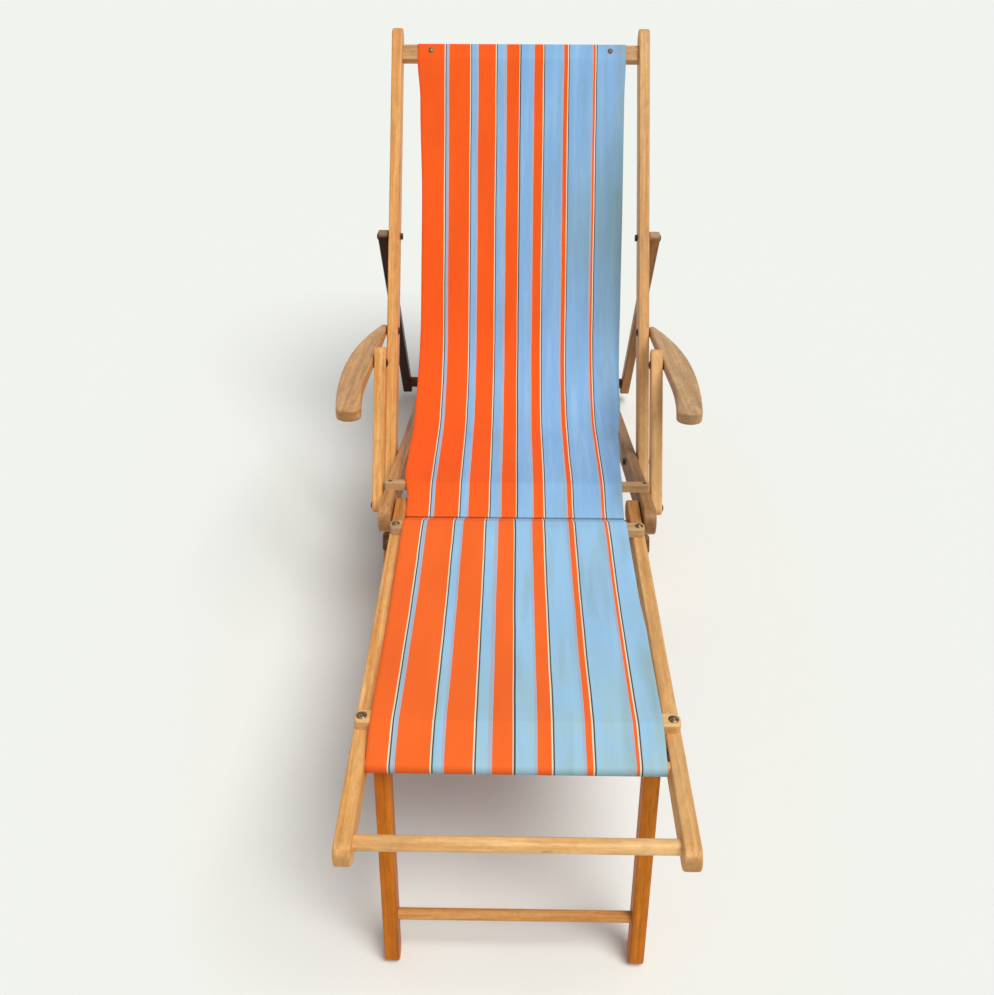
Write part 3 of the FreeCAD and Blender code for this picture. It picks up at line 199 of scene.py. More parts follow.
def middle_of(*names: str) -> list[Vector]:
    """Find where nodes lie, seen from the side.

    Args:
        names: CAD nodes.

    Returns:
        The middle of each node's box, moved to the chair's middle plane.
    """
    middles = []
    for name in names:
        low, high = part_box(name)
        middle = (Vector(low) + Vector(high)) / 2
        middle.x = 0.0
        middles.append(middle)
    return middles


def in_plane(degrees: float) -> Vector:
    """Give the unit vector of the side plane at an angle from +Y towards +Z."""
    return Vector((0, math.cos(math.radians(degrees)), math.sin(math.radians(degrees))))


def angle_of(vector: Vector) -> float:
    """Give the angle of a vector of the side plane, from +Y towards +Z, in degrees."""
    return math.degrees(math.atan2(vector.z, vector.y)) % 360


@dataclass(frozen=True)
class Coat:
    """One coat over a surface's colour: how much of it there is, its colour or tone, and how it goes on."""

    amount: float | Socket
    colour: Colour | Socket
    blend: Blend = Blend.COVER


@dataclass(frozen=True)
class Figure:
    """An uneven pattern drawn out one way: width and length in millimetres, and how broken up it is."""

    width: float
    length: float
    detail: float
    distortion: float = 0.0
    roughness: float = 0.5

    def draw(self, tree: Tree, place: Socket) -> Socket:
        """Draw the pattern.

        Args:
            tree: Node tree that takes it.
            place: Where it is read, in metres, with its length along Y.

        Returns:
            Its value.
        """
        across, along = 1 / (self.width * MM), 1 / (self.length * MM)
        scaled = add_node(tree, "ShaderNodeVectorMath", (place, (across, along, across)),
                          operation="MULTIPLY").outputs[0]
        return add_node(tree, "ShaderNodeTexNoise", {
            "Vector": scaled, "Scale": 1.0, "Detail": self.detail, "Distortion": self.distortion,
            "Roughness": self.roughness}).outputs["Fac"]


@dataclass(frozen=True)
class Timber:
    """Beech, planed and varnished long ago, and since worn and weathered.

    The eye sees honey-coloured bands along the board, short dark pores, pale worn edges and, where the
    varnish has gone, a drier and greyer surface. A pair named for a mask says where it starts and where
    it is full, and a share is the most that it covers.
    """

    name: str
    pale: str
    honey: str
    deep: str
    bare: str
    end: str
    grime: str = "#5A4028"
    dried: str = "#DCCAB4"
    sheen_roughness: float = 0.42
    bare_roughness: float = 0.72
    specular: float = 0.3
    pore_share: float = 0.25
    crack_share: float = 0.0
    bare_share: float = 0.55
    stain_share: float = 0.75
    end_share: float = 0.55
    bands: Figure = Figure(8.0, 300.0, 3.0, 0.6)
    mottle: Figure = Figure(11.0, 38.0, 4.0, 0.8, 0.6)
    patches: Figure = Figure(26.0, 90.0, 4.0, 0.4, 0.6)
    blots: Figure = Figure(18.2, 72.0, 5.0, 0.2, 0.65)
    # Fibres and pores are a tenth of a millimetre wide, too fine to show, so they are drawn about 1 mm wide.
    fibres: Figure = Figure(1.1, 70.0, 2.0)
    pores: Figure = Figure(0.9, 9.0, 1.0)
    # Real cracks lie 3 to 5 mm apart, too fine to show from the camera, so they are drawn at 9 mm.
    cracks: Figure = Figure(9.0, 26.0, 3.0, 1.2)
    band_places: tuple[float, float, float] = (0.24, 0.48, 0.74)
    mottle_tones: tuple[float, float] = (0.84, 1.12)
    fibre_tones: tuple[float, float] = (0.88, 1.10)
    pore_mask: tuple[float, float] = (0.60, 0.72)
    crack_mask: tuple[float, float] = (0.022, 0.004)
    cracked_patches: tuple[float, float] = (0.46, 0.60)
    bare_mask: tuple[float, float] = (0.80, 1.0)
    stain_mask: tuple[float, float] = (0.66, 0.80)
    end_mask: tuple[float, float] = (0.62, 0.95)
    edge_mask: tuple[float, float] = (0.995, 0.90)
    edge_radius: float = 3.5 * MM
    edge_wear: float = 0.35
    wear_reach: float = 0.55
    grime_reach: float = 0.08
    dry_fade: float = 15 * MM
    relief_strength: float = 0.35
    relief_height: float = 0.35 * MM

    def material(self, board: "Board") -> bpy.types.Material:
        """Build the wood for one board.

        Args:
            board: The board, with its grain direction and wear.

        Returns:
            The material.
        """
        material, tree = new_material(f"{self.name}_{board.node}")
        place = add_node(tree, "ShaderNodeTexCoord").outputs
        turn = (math.radians(board.lean), 0, 0) if board.grain is Grain.SIDE else (0, 0, math.radians(-90))
        along = add_node(tree, "ShaderNodeMapping", (place["Object"], board.offset(), turn),
                         vector_type="TEXTURE").outputs[0]
        fibres, pores, patches = (
            figure.draw(tree, along) for figure in (self.fibres, self.pores, self.patches))
        facing = add_node(tree, "ShaderNodeVectorMath", (place["Normal"], board.axis()),
                          operation="DOT_PRODUCT").outputs[1]
        wear, stain = board.wear * self.wear_reach, board.grime * self.grime_reach
        spans = {
            "mottle": (self.mottle.draw(tree, along), *USUAL, *self.mottle_tones),
            "fibres": (fibres, *USUAL, *self.fibre_tones),
            "pores": (pores, *self.pore_mask, 0.0, self.pore_share),
            "bare": (self.worn(tree, patches), self.bare_mask[0] - wear, self.bare_mask[1] - wear, 0.0,
                     self.bare_share),
            "stain": (self.blots.draw(tree, along), self.stain_mask[0] - stain, self.stain_mask[1], 0.0,
                      self.stain_share),
            "end": (add_node(tree, "ShaderNodeMath", (facing,), operation="ABSOLUTE").outputs[0],
                    *self.end_mask, 0.0, self.end_share),
        }
        if self.crack_share:
            spans["cracks"] = self.cracked(tree, along)
            spans["cracked patches"] = (patches, *self.cracked_patches)
        if board.dry_beyond is not None:
            reach = add_node(tree, "ShaderNodeSeparateXYZ", (place["Object"],)).outputs[1]
            spans["dry"] = (reach, board.dry_beyond - self.dry_fade, board.dry_beyond + self.dry_fade)
        mask = {name: add_node(tree, "ShaderNodeMapRange", span).outputs[0] for name, span in spans.items()}

        coats = [Coat(1.0, mask["mottle"], Blend.STAIN), Coat(1.0, mask["fibres"], Blend.STAIN),
                 Coat(mask["pores"], linear(self.grime))]
        if self.crack_share:
            amount = add_node(tree, "ShaderNodeMath", (mask["cracks"], mask["cracked patches"]),
                              operation="MULTIPLY").outputs[0]
            coats.append(Coat(amount, linear(self.grime)))
        coats += [Coat(mask["bare"], linear(self.bare)), Coat(mask["stain"], linear(self.grime)),
                  Coat(mask["end"], linear(self.end)), Coat(1.0, linear(board.tint), Blend.STAIN)]
        if board.dry_beyond is not None:
            coats.append(Coat(mask["dry"], linear(self.dried), Blend.STAIN))
        tones = zip(self.band_places, (self.deep, self.honey, self.pale))
        shade = add_node(tree, "ShaderNodeValToRGB", (self.bands.draw(tree, along),), [
            (at, linear(code)) for at, code in tones]).outputs[0]
        for coat in coats:
            shade = add_node(tree, "ShaderNodeMix", {0: coat.amount, 6: shade, 7: coat.colour},
                             data_type="RGBA", blend_type=coat.blend.value).outputs[2]

        gloss = add_node(tree, "ShaderNodeMapRange", (
            mask["bare"], 0.0, self.bare_share, self.sheen_roughness, self.bare_roughness)).outputs[0]
        relief = add_node(tree, "ShaderNodeMath", (fibres, pores), operation="ADD").outputs[0]
        bump = add_node(tree, "ShaderNodeBump", {
            "Strength": self.relief_strength, "Distance": self.relief_height, "Height": relief}).outputs[0]
        surface = add_node(tree, "ShaderNodeBsdfPrincipled", {
            "Base Color": shade, "Roughness": gloss, "Specular IOR Level": self.specular, "Normal": bump})
        add_node(tree, "ShaderNodeOutputMaterial", (surface.outputs[0],))
        return material

    def worn(self, tree: Tree, patches: Socket) -> Socket:
        """Find how worn each place is: in patches, and more along the edges.

        Args:
            tree: Node tree of the board.
            patches: The uneven wear of its faces.

        Returns:
            The wear.
        """
        bevel = add_node(tree, "ShaderNodeBevel", {"Radius": self.edge_radius}, samples=6).outputs[0]
        normal = add_node(tree, "ShaderNodeNewGeometry").outputs["Normal"]
        agree = add_node(tree, "ShaderNodeVectorMath", (bevel, normal), operation="DOT_PRODUCT").outputs[1]
        edge = add_node(tree, "ShaderNodeMapRange", (agree, *self.edge_mask, 0.0, self.edge_wear)).outputs[0]
        return add_node(tree, "ShaderNodeMath", (patches, edge), operation="ADD").outputs[0]

    def cracked(self, tree: Tree, along: Socket) -> tuple[Socket, float, float, float, float]:
        """Find the cracks, which follow the middle value of a pattern like veins.

        Args:
            tree: Node tree of the board.
            along: Place on the board.

        Returns:
            The distance from a crack, and the span that its mask takes.
        """
        veins = self.cracks.draw(tree, along)
        offset = add_node(tree, "ShaderNodeMath", (veins, 0.5), operation="SUBTRACT").outputs[0]
        near = add_node(tree, "ShaderNodeMath", (offset,), operation="ABSOLUTE").outputs[0]
        return (near, *self.crack_mask, 0.0, self.crack_share)


@dataclass(frozen=True)
class OldMetal:
    """Metal with its shine gone: a dull, uneven skin with paler worn spots.

    It stays dark between soft highlights, and its colour changes over a few millimetres.
    """

    name: str
    skin: str
    spot: str
    metallic: float
    roughness: float
    spots: Figure = Figure(3.0, 3.0, 4.0)
    pits: Figure = Figure(0.7, 0.7, 2.0)
    spot_places: tuple[float, float] = (0.38, 0.66)
    duller: float = 0.15
    brighter: float = 0.1
    pit_strength: float = 0.5
    pit_depth: float = 0.15 * MM

    def material(self) -> bpy.types.Material:
        """Build the metal.

        Returns:
            The material.
        """
        material, tree = new_material(self.name)
        place = add_node(tree, "ShaderNodeTexCoord").outputs["Object"]
        spots, pits = self.spots.draw(tree, place), self.pits.draw(tree, place)
        shade = add_node(tree, "ShaderNodeValToRGB", (spots,), [
            (at, linear(code)) for at, code in zip(self.spot_places, (self.skin, self.spot))]).outputs[0]
        rough = add_node(tree, "ShaderNodeMapRange", (
            spots, 0.0, 1.0, self.roughness + self.duller, self.roughness - self.brighter)).outputs[0]
        bump = add_node(tree, "ShaderNodeBump", {
            "Strength": self.pit_strength, "Distance": self.pit_depth, "Height": pits}).outputs[0]
        surface = add_node(tree, "ShaderNodeBsdfPrincipled", {
            "Base Color": shade, "Metallic": self.metallic, "Roughness": rough, "Normal": bump})
        add_node(tree, "ShaderNodeOutputMaterial", (surface.outputs[0],))
        return material


@dataclass(frozen=True)
class StripedCanvas:
    """Cotton canvas, plain woven from dyed yarn, sun-bleached and a little soiled.

    Orange bands narrow and blue bands widen from one edge to the other, each pair parted by a cream and a
    dark line. The weave is matt, with slubs along the yarns, and feet and rain have greyed it in places.
    Widths and places of the stripes are in millimetres.
    """

    orange: str = "#FF6120"
    blue: str = "#8EBBEA"
    cream: str = "#F7E9CB"
    dark: str = "#50554F"
    lilac: str = "#B4B7C6"
    soil: str = "#93A89C"
    faded: str = "#FF7430"
    washed: str = "#A6D2F0"
    greened: str = "#A9CBD0"
    # The next two colours are painted shade of soft folds on the back's right side.
    fold_shade: str = "#6E8C92"
    streaked_fold_shade: str = "#86A9BA"
    half_width: float = 215.0
    margin: float = 40.0
    line_width: float = 2.3
    lines_width: float = 4.025
    lilac_width: float = 4.2
    line_starts: tuple[float, ...] = (54.6, 109.0, 162.5, 212.0, 261.0, 314.0, 371.5)
    orange_widths: tuple[float, ...] = (54.6, 44.3, 36.0, 26.7, 16.5, 8.8, 4.8)
    waver: Figure = Figure(40.0, 160.0, 2.0)
    waver_reach: float = 1.2 * MM
    slubs: Figure = Figure(1.6, 45.0, 3.0)
    slub_tones: tuple[float, float] = (0.94, 1.05)
    # The real yarns lie 0.6 mm apart, too fine to show, so the weave is drawn at 1.1 mm.
    thread_gap: float = 1.1 * MM
    weave_strength: float = 0.4
    weave_height: float = 0.2 * MM

    def stripes(self) -> list[tuple[float, Colour]]:
        """List where each colour starts, as a share of the cloth with a margin on both sides.

        Returns:
            Starts and colours.
        """
        starts = []
        for line, width in zip(self.line_starts, self.orange_widths):
            if starts:
                starts.append((line - width - self.lilac_width, self.lilac))
            starts.append((line - width if starts else -self.margin, self.orange))
            starts.append((line, self.cream))
            starts.append((line + self.line_width, self.dark))
            starts.append((line + self.lines_width, self.blue))
        whole = 2 * (self.half_width + self.margin)
        return [((place + self.margin) / whole, linear(code)) for place, code in starts]

    def material(self, crease: float, end: float) -> bpy.types.Material:
        """Build the cloth.

        Args:
            crease: Distance along the cloth to the crease, in metres.
            end: Distance to its front end.

        Returns:
            The material.
        """
        material, tree = new_material("striped_cotton_canvas")
        flat = add_node(tree, "ShaderNodeUVMap", uv_map="cloth").outputs[0]
        slubs = self.slubs.draw(tree, flat)
        slub_tone = add_node(tree, "ShaderNodeMapRange", (slubs, *USUAL, *self.slub_tones)).outputs[0]
        dyed = add_node(tree, "ShaderNodeMix", {0: 1.0, 6: self.dyed(tree, flat), 7: slub_tone},
                        data_type="RGBA", blend_type="MULTIPLY").outputs[2]
        shade = dyed
        for coat in self.wear(tree, dyed, flat, crease, end):
            shade = add_node(tree, "ShaderNodeMix", {0: coat.amount, 6: shade, 7: coat.colour},
                             data_type="RGBA", blend_type=coat.blend.value).outputs[2]

        waves = []
        for part in add_node(tree, "ShaderNodeSeparateXYZ", (flat,)).outputs[:2]:
            angle = add_node(tree, "ShaderNodeMath", (part, math.pi / self.thread_gap),
                             operation="MULTIPLY").outputs[0]
            waves.append(add_node(tree, "ShaderNodeMath", (angle,), operation="SINE").outputs[0])
        weave = add_node(tree, "ShaderNodeMath", tuple(waves), operation="MULTIPLY").outputs[0]
        relief = add_node(tree, "ShaderNodeMath", (weave, slubs), operation="ADD").outputs[0]
        bump = add_node(tree, "ShaderNodeBump", {
            "Strength": self.weave_strength, "Distance": self.weave_height, "Height": relief}).outputs[0]
        surface = add_node(tree, "ShaderNodeBsdfPrincipled", {
            "Base Color": shade, "Roughness": 0.9, "Sheen Weight": 0.03, "Sheen Roughness": 0.5,
            "Specular IOR Level": 0.12, "Normal": bump})
        add_node(tree, "ShaderNodeOutputMaterial", (surface.outputs[0],))
        return material

    def dyed(self, tree: Tree, flat: Socket) -> Socket:
        """Lay out the stripes, which two colour ramps share because one can't hold them all.

        Args:
            tree: Node tree of the cloth.
            flat: Place on the flat cloth.

        Returns:
            Colour of the clean cloth.
        """
        waver = add_node(tree, "ShaderNodeMapRange", (
            self.waver.draw(tree, flat), 0.0, 1.0, -self.waver_reach, self.waver_reach)).outputs[0]
        across = add_node(tree, "ShaderNodeSeparateXYZ", (flat,)).outputs[0]
        across = add_node(tree, "ShaderNodeMath", (across, waver), operation="ADD").outputs[0]
        side = (self.half_width + self.margin) * MM
        share = add_node(tree, "ShaderNodeMapRange", (across, -side, side)).outputs[0]
        stripes = self.stripes()
        middle = len(stripes) // 2
        left, right = (
            add_node(tree, "ShaderNodeValToRGB", (share,), half, interpolation="CONSTANT").outputs[0]
            for half in (stripes[:middle], stripes[middle:]))
        beyond = add_node(tree, "ShaderNodeMath", (share, stripes[middle][0]),
                          operation="GREATER_THAN").outputs[0]
        return add_node(tree, "ShaderNodeMix", {0: beyond, 6: left, 7: right}, data_type="RGBA").outputs[2]

    def wear(self, tree: Tree, dyed: Socket, flat: Socket, crease: float, end: float) -> list[Coat]:
        """Fade and soil the cloth, and paint shade into its folds, its crease and the turn at its front.

        Args:
            tree: Node tree of the cloth.
            dyed: Colour of the clean cloth.
            flat: Place on the flat cloth.
            crease: Distance along the cloth to the crease, in metres.
            end: Distance to its front end.

        Returns:
            What has come over its colours, in order.
        """
        across, along, _ = add_node(tree, "ShaderNodeSeparateXYZ", (flat,)).outputs
        channels = add_node(tree, "ShaderNodeSeparateColor", (dyed,)).outputs
        bluer = add_node(tree, "ShaderNodeMath", (channels[2], channels[0]), operation="SUBTRACT").outputs[0]
        away = add_node(tree, "ShaderNodeMath", (along, crease), operation="SUBTRACT").outputs[0]
        away = add_node(tree, "ShaderNodeMath", (away,), operation="ABSOLUTE").outputs[0]
        # Each span is a value, where its mask starts and ends, and what the mask is there.
        spans = {
            "blue bands": (bluer, 0.08, 0.30),
            "orange bands": (bluer, -0.50, -0.80),
            "footrest": (along, crease - 0.11, crease + 0.10, 0.0, 0.7),
            "front": (along, crease + 0.33, end - 0.08, 0.0, 0.9),
            "splashes": (Figure(40, 70, 4).draw(tree, flat), 0.3, 0.6),
            "streaks": (Figure(14, 260, 4).draw(tree, flat), 0.46, 0.70, 0.0, 0.5),
            "clouds": (Figure(26, 260, 5).draw(tree, flat), 0.52, 0.80, 0.0, 0.55),
            "right edge": (across, 0.168, 0.214, 0.0, 0.55),
            "ragged": (Figure(25, 120, 4).draw(tree, flat), 0.38, 0.62),
            "right side": (across, 0.120, 0.208, 0.0, 0.75),
            "below the head": (along, 0.20, 0.38),
            "above the hip": (along, 0.66, 0.46),
            "right half": (across, 0.0, 0.12, 0.0, 0.6),
            "long streaks": (Figure(12, 320, 3).draw(tree, flat), 0.35, 0.62, 0.2, 1.0),
            "tone": (Figure(70, 200, 4).draw(tree, flat), *USUAL, 0.94, 1.04),
            "crease": (away, 4.5 * MM, 9.5 * MM, 0.12, 1.0),
            "front turn": (along, end - 32 * MM, end - 20 * MM, 1.0, 0.72),
        }
        mask = {name: add_node(tree, "ShaderNodeMapRange", span).outputs[0] for name, span in spans.items()}

        def over(code: str, *names: str) -> Coat:
            """Make a coat that lies where all the named masks meet.

            Args:
                code: sRGB colour as a hex string.
                names: Masks.

            Returns:
                The coat.
            """
            amount = mask[names[0]]
            for name in names[1:]:
                amount = add_node(tree, "ShaderNodeMath", (amount, mask[name]),
                                  operation="MULTIPLY").outputs[0]
            return Coat(amount, linear(code))

        return [
            # The footrest has faded, and its blue has greened towards the front, under shoes and rain.
            over(self.washed, "blue bands", "footrest"),
            over(self.faded, "orange bands", "footrest"),
            over(self.greened, "blue bands", "front", "splashes"),
            over(self.washed, "blue bands", "streaks"),
            over(self.soil, "blue bands", "clouds"),
            # The right edge is darker and greyer, and painted shade darkens it most where it folds away from
            # the light below the head.
            over(self.soil, "blue bands", "right edge", "ragged"),
            over(self.fold_shade, "blue bands", "below the head", "above the hip", "right side"),
            # Painted shade of soft lengthwise folds darkens the wide bands round it, in long streaks.
            over(self.streaked_fold_shade, "blue bands", "below the head", "above the hip", "right half", "long streaks"),
            Coat(1.0, mask["tone"], Blend.STAIN),
            # Painted shade: the cloth is darker in the crease on the hinge bar, and at the sleeve's turn
            # round the front bar.
            Coat(1.0, mask["crease"], Blend.STAIN),
            Coat(1.0, mask["front turn"], Blend.STAIN),
        ]


# Old varnish, still whole: even honey colour with a satin sheen.
VARNISHED = Timber("varnished_beech", "#F4BF7C", "#E6A55B", "#CC8640", "#D8A468", "#A87A45")
# Varnish scrubbed thin: paler and duller, with less of a sheen.
SCRUBBED = Timber("scrubbed_beech", "#F9CE92", "#ECB674", "#D2985C", "#DDB080", "#A87A45",
                  sheen_roughness=0.5)
# Amber varnish, which glows orange and has little sheen.
AMBER = Timber("amber_varnished_beech", "#DE8A1E", "#C9740A", "#A85C06", "#C27C28", "#8E5414",
               grime="#5A3408", specular=0.15)
# Varnish gone in sun and rain: dry tan wood, with dark pores and fine cracks.
WEATHERED = Timber("weathered_beech", "#DDB27A", "#C69663", "#A0764B", "#CCA97E", "#8B6A45",
                   bare_roughness=0.8, pore_share=0.5, crack_share=0.7)
# Brown varnish darkened as painted shade, for the parts behind the canvas, with a faint sheen.
SHADED = Timber("beech_painted_shade", "#9A6A3A", "#7E5330", "#553620", "#86694B", "#4A3220", specular=0.2)
# Painted shade: beech varnish made nearly black for the left prop leg's shaded side, with dry and pale end
# grain.
DEEP_SHADE = Timber("beech_painted_deep_shade", "#4B230A", "#3C1A07", "#260E03", "#402310", "#B4986E", grime="#1E0E06",
                specular=0.2)
# Umber varnish, warm brown, with dry and pale end grain.
UMBER = Timber("umber_varnished_beech", "#BE8248", "#A06C3A", "#744A26", "#A08058", "#BCA888", specular=0.2)
# Painted shade of a screw's slot: a near-black strip without a shine, where the groove would be.
SLOT_SHADE = OldMetal("painted_slot_shade", "#17110D", "#2C221B", 0.1, 0.85)
# Forged iron under brown rust: dark and dull, with soft highlights.
IRON = OldMetal("rusted_iron", "#2E2723", "#6A5142", 0.75, 0.55)
# Turned brass gone brown: a low, warm gleam where it is worn.
BRASS = OldMetal("tarnished_brass", "#4A3D30", "#8F7450", 0.85, 0.45)
CANVAS = StripedCanvas()


@dataclass(frozen=True)
class Board:
    """One piece of timber: how its grain runs and how worn it is.

    Where dry_beyond is set, the board has lost its varnish behind that place on the Y axis.
    """

    node: str
    finish: Timber
    lean: float = 0.0
    grain: Grain = Grain.SIDE
    wear: float = 0.4
    grime: float = 0.4
    cut: int = 0
    tint: str = "#FFFFFF"
    dry_beyond: float | None = None

    def axis(self) -> tuple[float, float, float]:
        """Give the direction of the grain."""
        return tuple(in_plane(self.lean)) if self.grain is Grain.SIDE else (1.0, 0.0, 0.0)

    def offset(self) -> tuple[float, float, float]:
        """Give the board its own place in the timber, so that no two look alike."""
        return tuple(start + step * self.cut for start, step in zip(CUT_START, CUT_STEP))


class Joinery:
    """A sub-assembly made of boards."""

    def boards(self) -> list[Board]:
        """List the boards, which each sub-assembly does in its own way."""
        raise NotImplementedError

    def dress(self, nodes: dict[str, bpy.types.Object]) -> None:
        """Give each board its wood, and report it.

        Args:
            nodes: CAD nodes by name.
        """
        for board in self.boards():
            put_on(nodes[board.node], board.finish.material(board))
            LOG.info("%s: %s in %s", type(self).__name__, board.node, board.finish.name)


@dataclass(frozen=True)
class BackFrame(Joinery):
    """The two back rails, the bar that the canvas hangs from and the lath near the feet."""

    lean: float = BACK_ANGLE

    def boards(self) -> list[Board]:
        """List the back's boards.

        Returns:
            The two rails, the top bar and the lath.
        """
        return [
            Board("back_rail_left", VARNISHED, self.lean, wear=0.15, cut=1, tint="#FCF4EA"),
            Board("back_rail_right", SCRUBBED, self.lean, wear=0.5, grime=0.7, cut=2, tint="#ECE4DC"),
            Board("top_bar", WEATHERED, grain=Grain.ACROSS, wear=0.5, grime=0.9, cut=3, tint="#FFFAF0"),
            Board("back_foot_lath", SHADED, grain=Grain.ACROSS, cut=4),
        ]


@dataclass(frozen=True)
class SeatFrame(Joinery):
    """The notched seat rails with the bars between them."""

    lean: float = -SEAT_ANGLE

    def boards(self) -> list[Board]:
        """List the seat's boards.

        Returns:
            The two rails, the crossbar and the dowel.
        """
        return [
            Board("seat_rail_left", WEATHERED, self.lean, wear=0.5, cut=5, tint="#FFEEDA"),
            Board("seat_rail_right", WEATHERED, self.lean, wear=0.6, grime=0.7, cut=6, tint="#DCCFC0"),
            Board("seat_crossbar", WEATHERED, grain=Grain.ACROSS, wear=0.8, grime=0.6, cut=7),
            Board("seat_rear_dowel", SHADED, grain=Grain.ACROSS, cut=8),
        ]


@dataclass(frozen=True)
class Prop(Joinery):
    """The frame that holds the back up, with the bar that drops into a notch."""

    lean: float = -63.8

    def boards(self) -> list[Board]:
        """List the prop's boards.

        Returns:
            The two legs and the bar.
        """
        return [
            # The left leg's near-black wood is painted shade of its shaded side.
            Board("prop_leg_left", DEEP_SHADE, self.lean, wear=0.1, grime=0.9, cut=9),
            Board("prop_leg_right", UMBER, self.lean, wear=0.4, cut=10),
            # The prop bar's tint darkens it further: more painted shade.
            Board("prop_bar", SHADED, grain=Grain.ACROSS, cut=11, tint="#B0A498"),
        ]


@dataclass(frozen=True)
class Arms(Joinery):
    """The bowed arms and the posts that carry them."""

    arm_lean: float = -14.1
    post_lean: float = 49.3

    def boards(self) -> list[Board]:
        """List the arms and the posts.

        Returns:
            Both arms, then both posts.
        """
        return [
            Board("arm_left", WEATHERED, self.arm_lean, wear=0.4, grime=0.5, cut=12, tint="#FFF1D8"),
            Board("arm_right", WEATHERED, self.arm_lean, wear=0.6, grime=0.6, cut=13, tint="#F8F8FA"),
            Board("arm_post_left", VARNISHED, self.post_lean, wear=0.25, cut=14),
            Board("arm_post_right", SCRUBBED, self.post_lean, wear=0.7, grime=0.8, cut=15, tint="#FFF8F0"),
        ]


@dataclass(frozen=True)
class Footrest(Joinery):
    """The hinged footrest and its folding legs."""

    lean: float = -REST_ANGLE
    leg_lean: float = 78.0

    def boards(self) -> list[Board]:
        """List the footrest's boards. Its rails are dry behind the rear lath.

        Returns:
            The rails, laths, dowels, bars and legs.
        """
        dry = middle_of("rear_lath")[0].y
        return [
            Board("footrest_rail_left", VARNISHED, self.lean, wear=0.4, grime=0.5, cut=16, dry_beyond=dry),
            Board("footrest_rail_right", SCRUBBED, self.lean, wear=0.6, grime=0.8, cut=17, tint="#F2EAE0",
                  dry_beyond=dry),
            Board("rear_lath", WEATHERED, grain=Grain.ACROSS, wear=0.7, grime=0.7, cut=18),
            Board("knee_lath", SCRUBBED, grain=Grain.ACROSS, wear=0.6, grime=0.3, cut=19),
            Board("front_dowel", SCRUBBED, grain=Grain.ACROSS, wear=0.35, cut=20),
            Board("canvas_bar", VARNISHED, grain=Grain.ACROSS, cut=21),
            Board("hinge_bar", SHADED, grain=Grain.ACROSS, cut=22),
            Board("footrest_leg_left", AMBER, self.leg_lean, wear=0.1, grime=0.5, cut=23, tint="#F6E6C0"),
            Board("footrest_leg_right", AMBER, self.leg_lean, wear=0.3, grime=0.6, cut=24, tint="#FFF6EE"),
            Board("leg_dowel", VARNISHED, grain=Grain.ACROSS, wear=0.3, cut=25, tint="#EADFCE"),
        ]


@dataclass(frozen=True)
class Fixings:
    """Bolts, nuts, washers and screws in rusted iron, and small screws and tacks in brass."""

    brass_nodes: tuple[str, ...] = ("back_lath_screws", "crossbar_screws", "lath_screws", "lath_cups",
                                    "canvas_tacks")
    iron_words: tuple[str, ...] = ("_bolts", "_nuts", "_washers", "_spacers", "arm_screws", "arm_washers",
                                   "hinge_screws")

    def dress(self, nodes: dict[str, bpy.types.Object]) -> None:
        """Give the fixings their metal, and report each.

        Args:
            nodes: CAD nodes by name.
        """
        iron, brass = IRON.material(), BRASS.material()
        for name, piece in nodes.items():
            if name in self.brass_nodes:
                put_on(piece, brass)
                LOG.info("Fixings: %s in %s", name, BRASS.name)
            elif any(word in name for word in self.iron_words):
                put_on(piece, iron)
                LOG.info("Fixings: %s in %s", name, IRON.name)


@dataclass(frozen=True)
class ScrewPair:
    """Two screws in one bar: where their heads lie and how far each was turned, in degrees."""

    node: str
    body: str
    slope: float
    across: float
    rise: float
    turns: tuple[float, float]


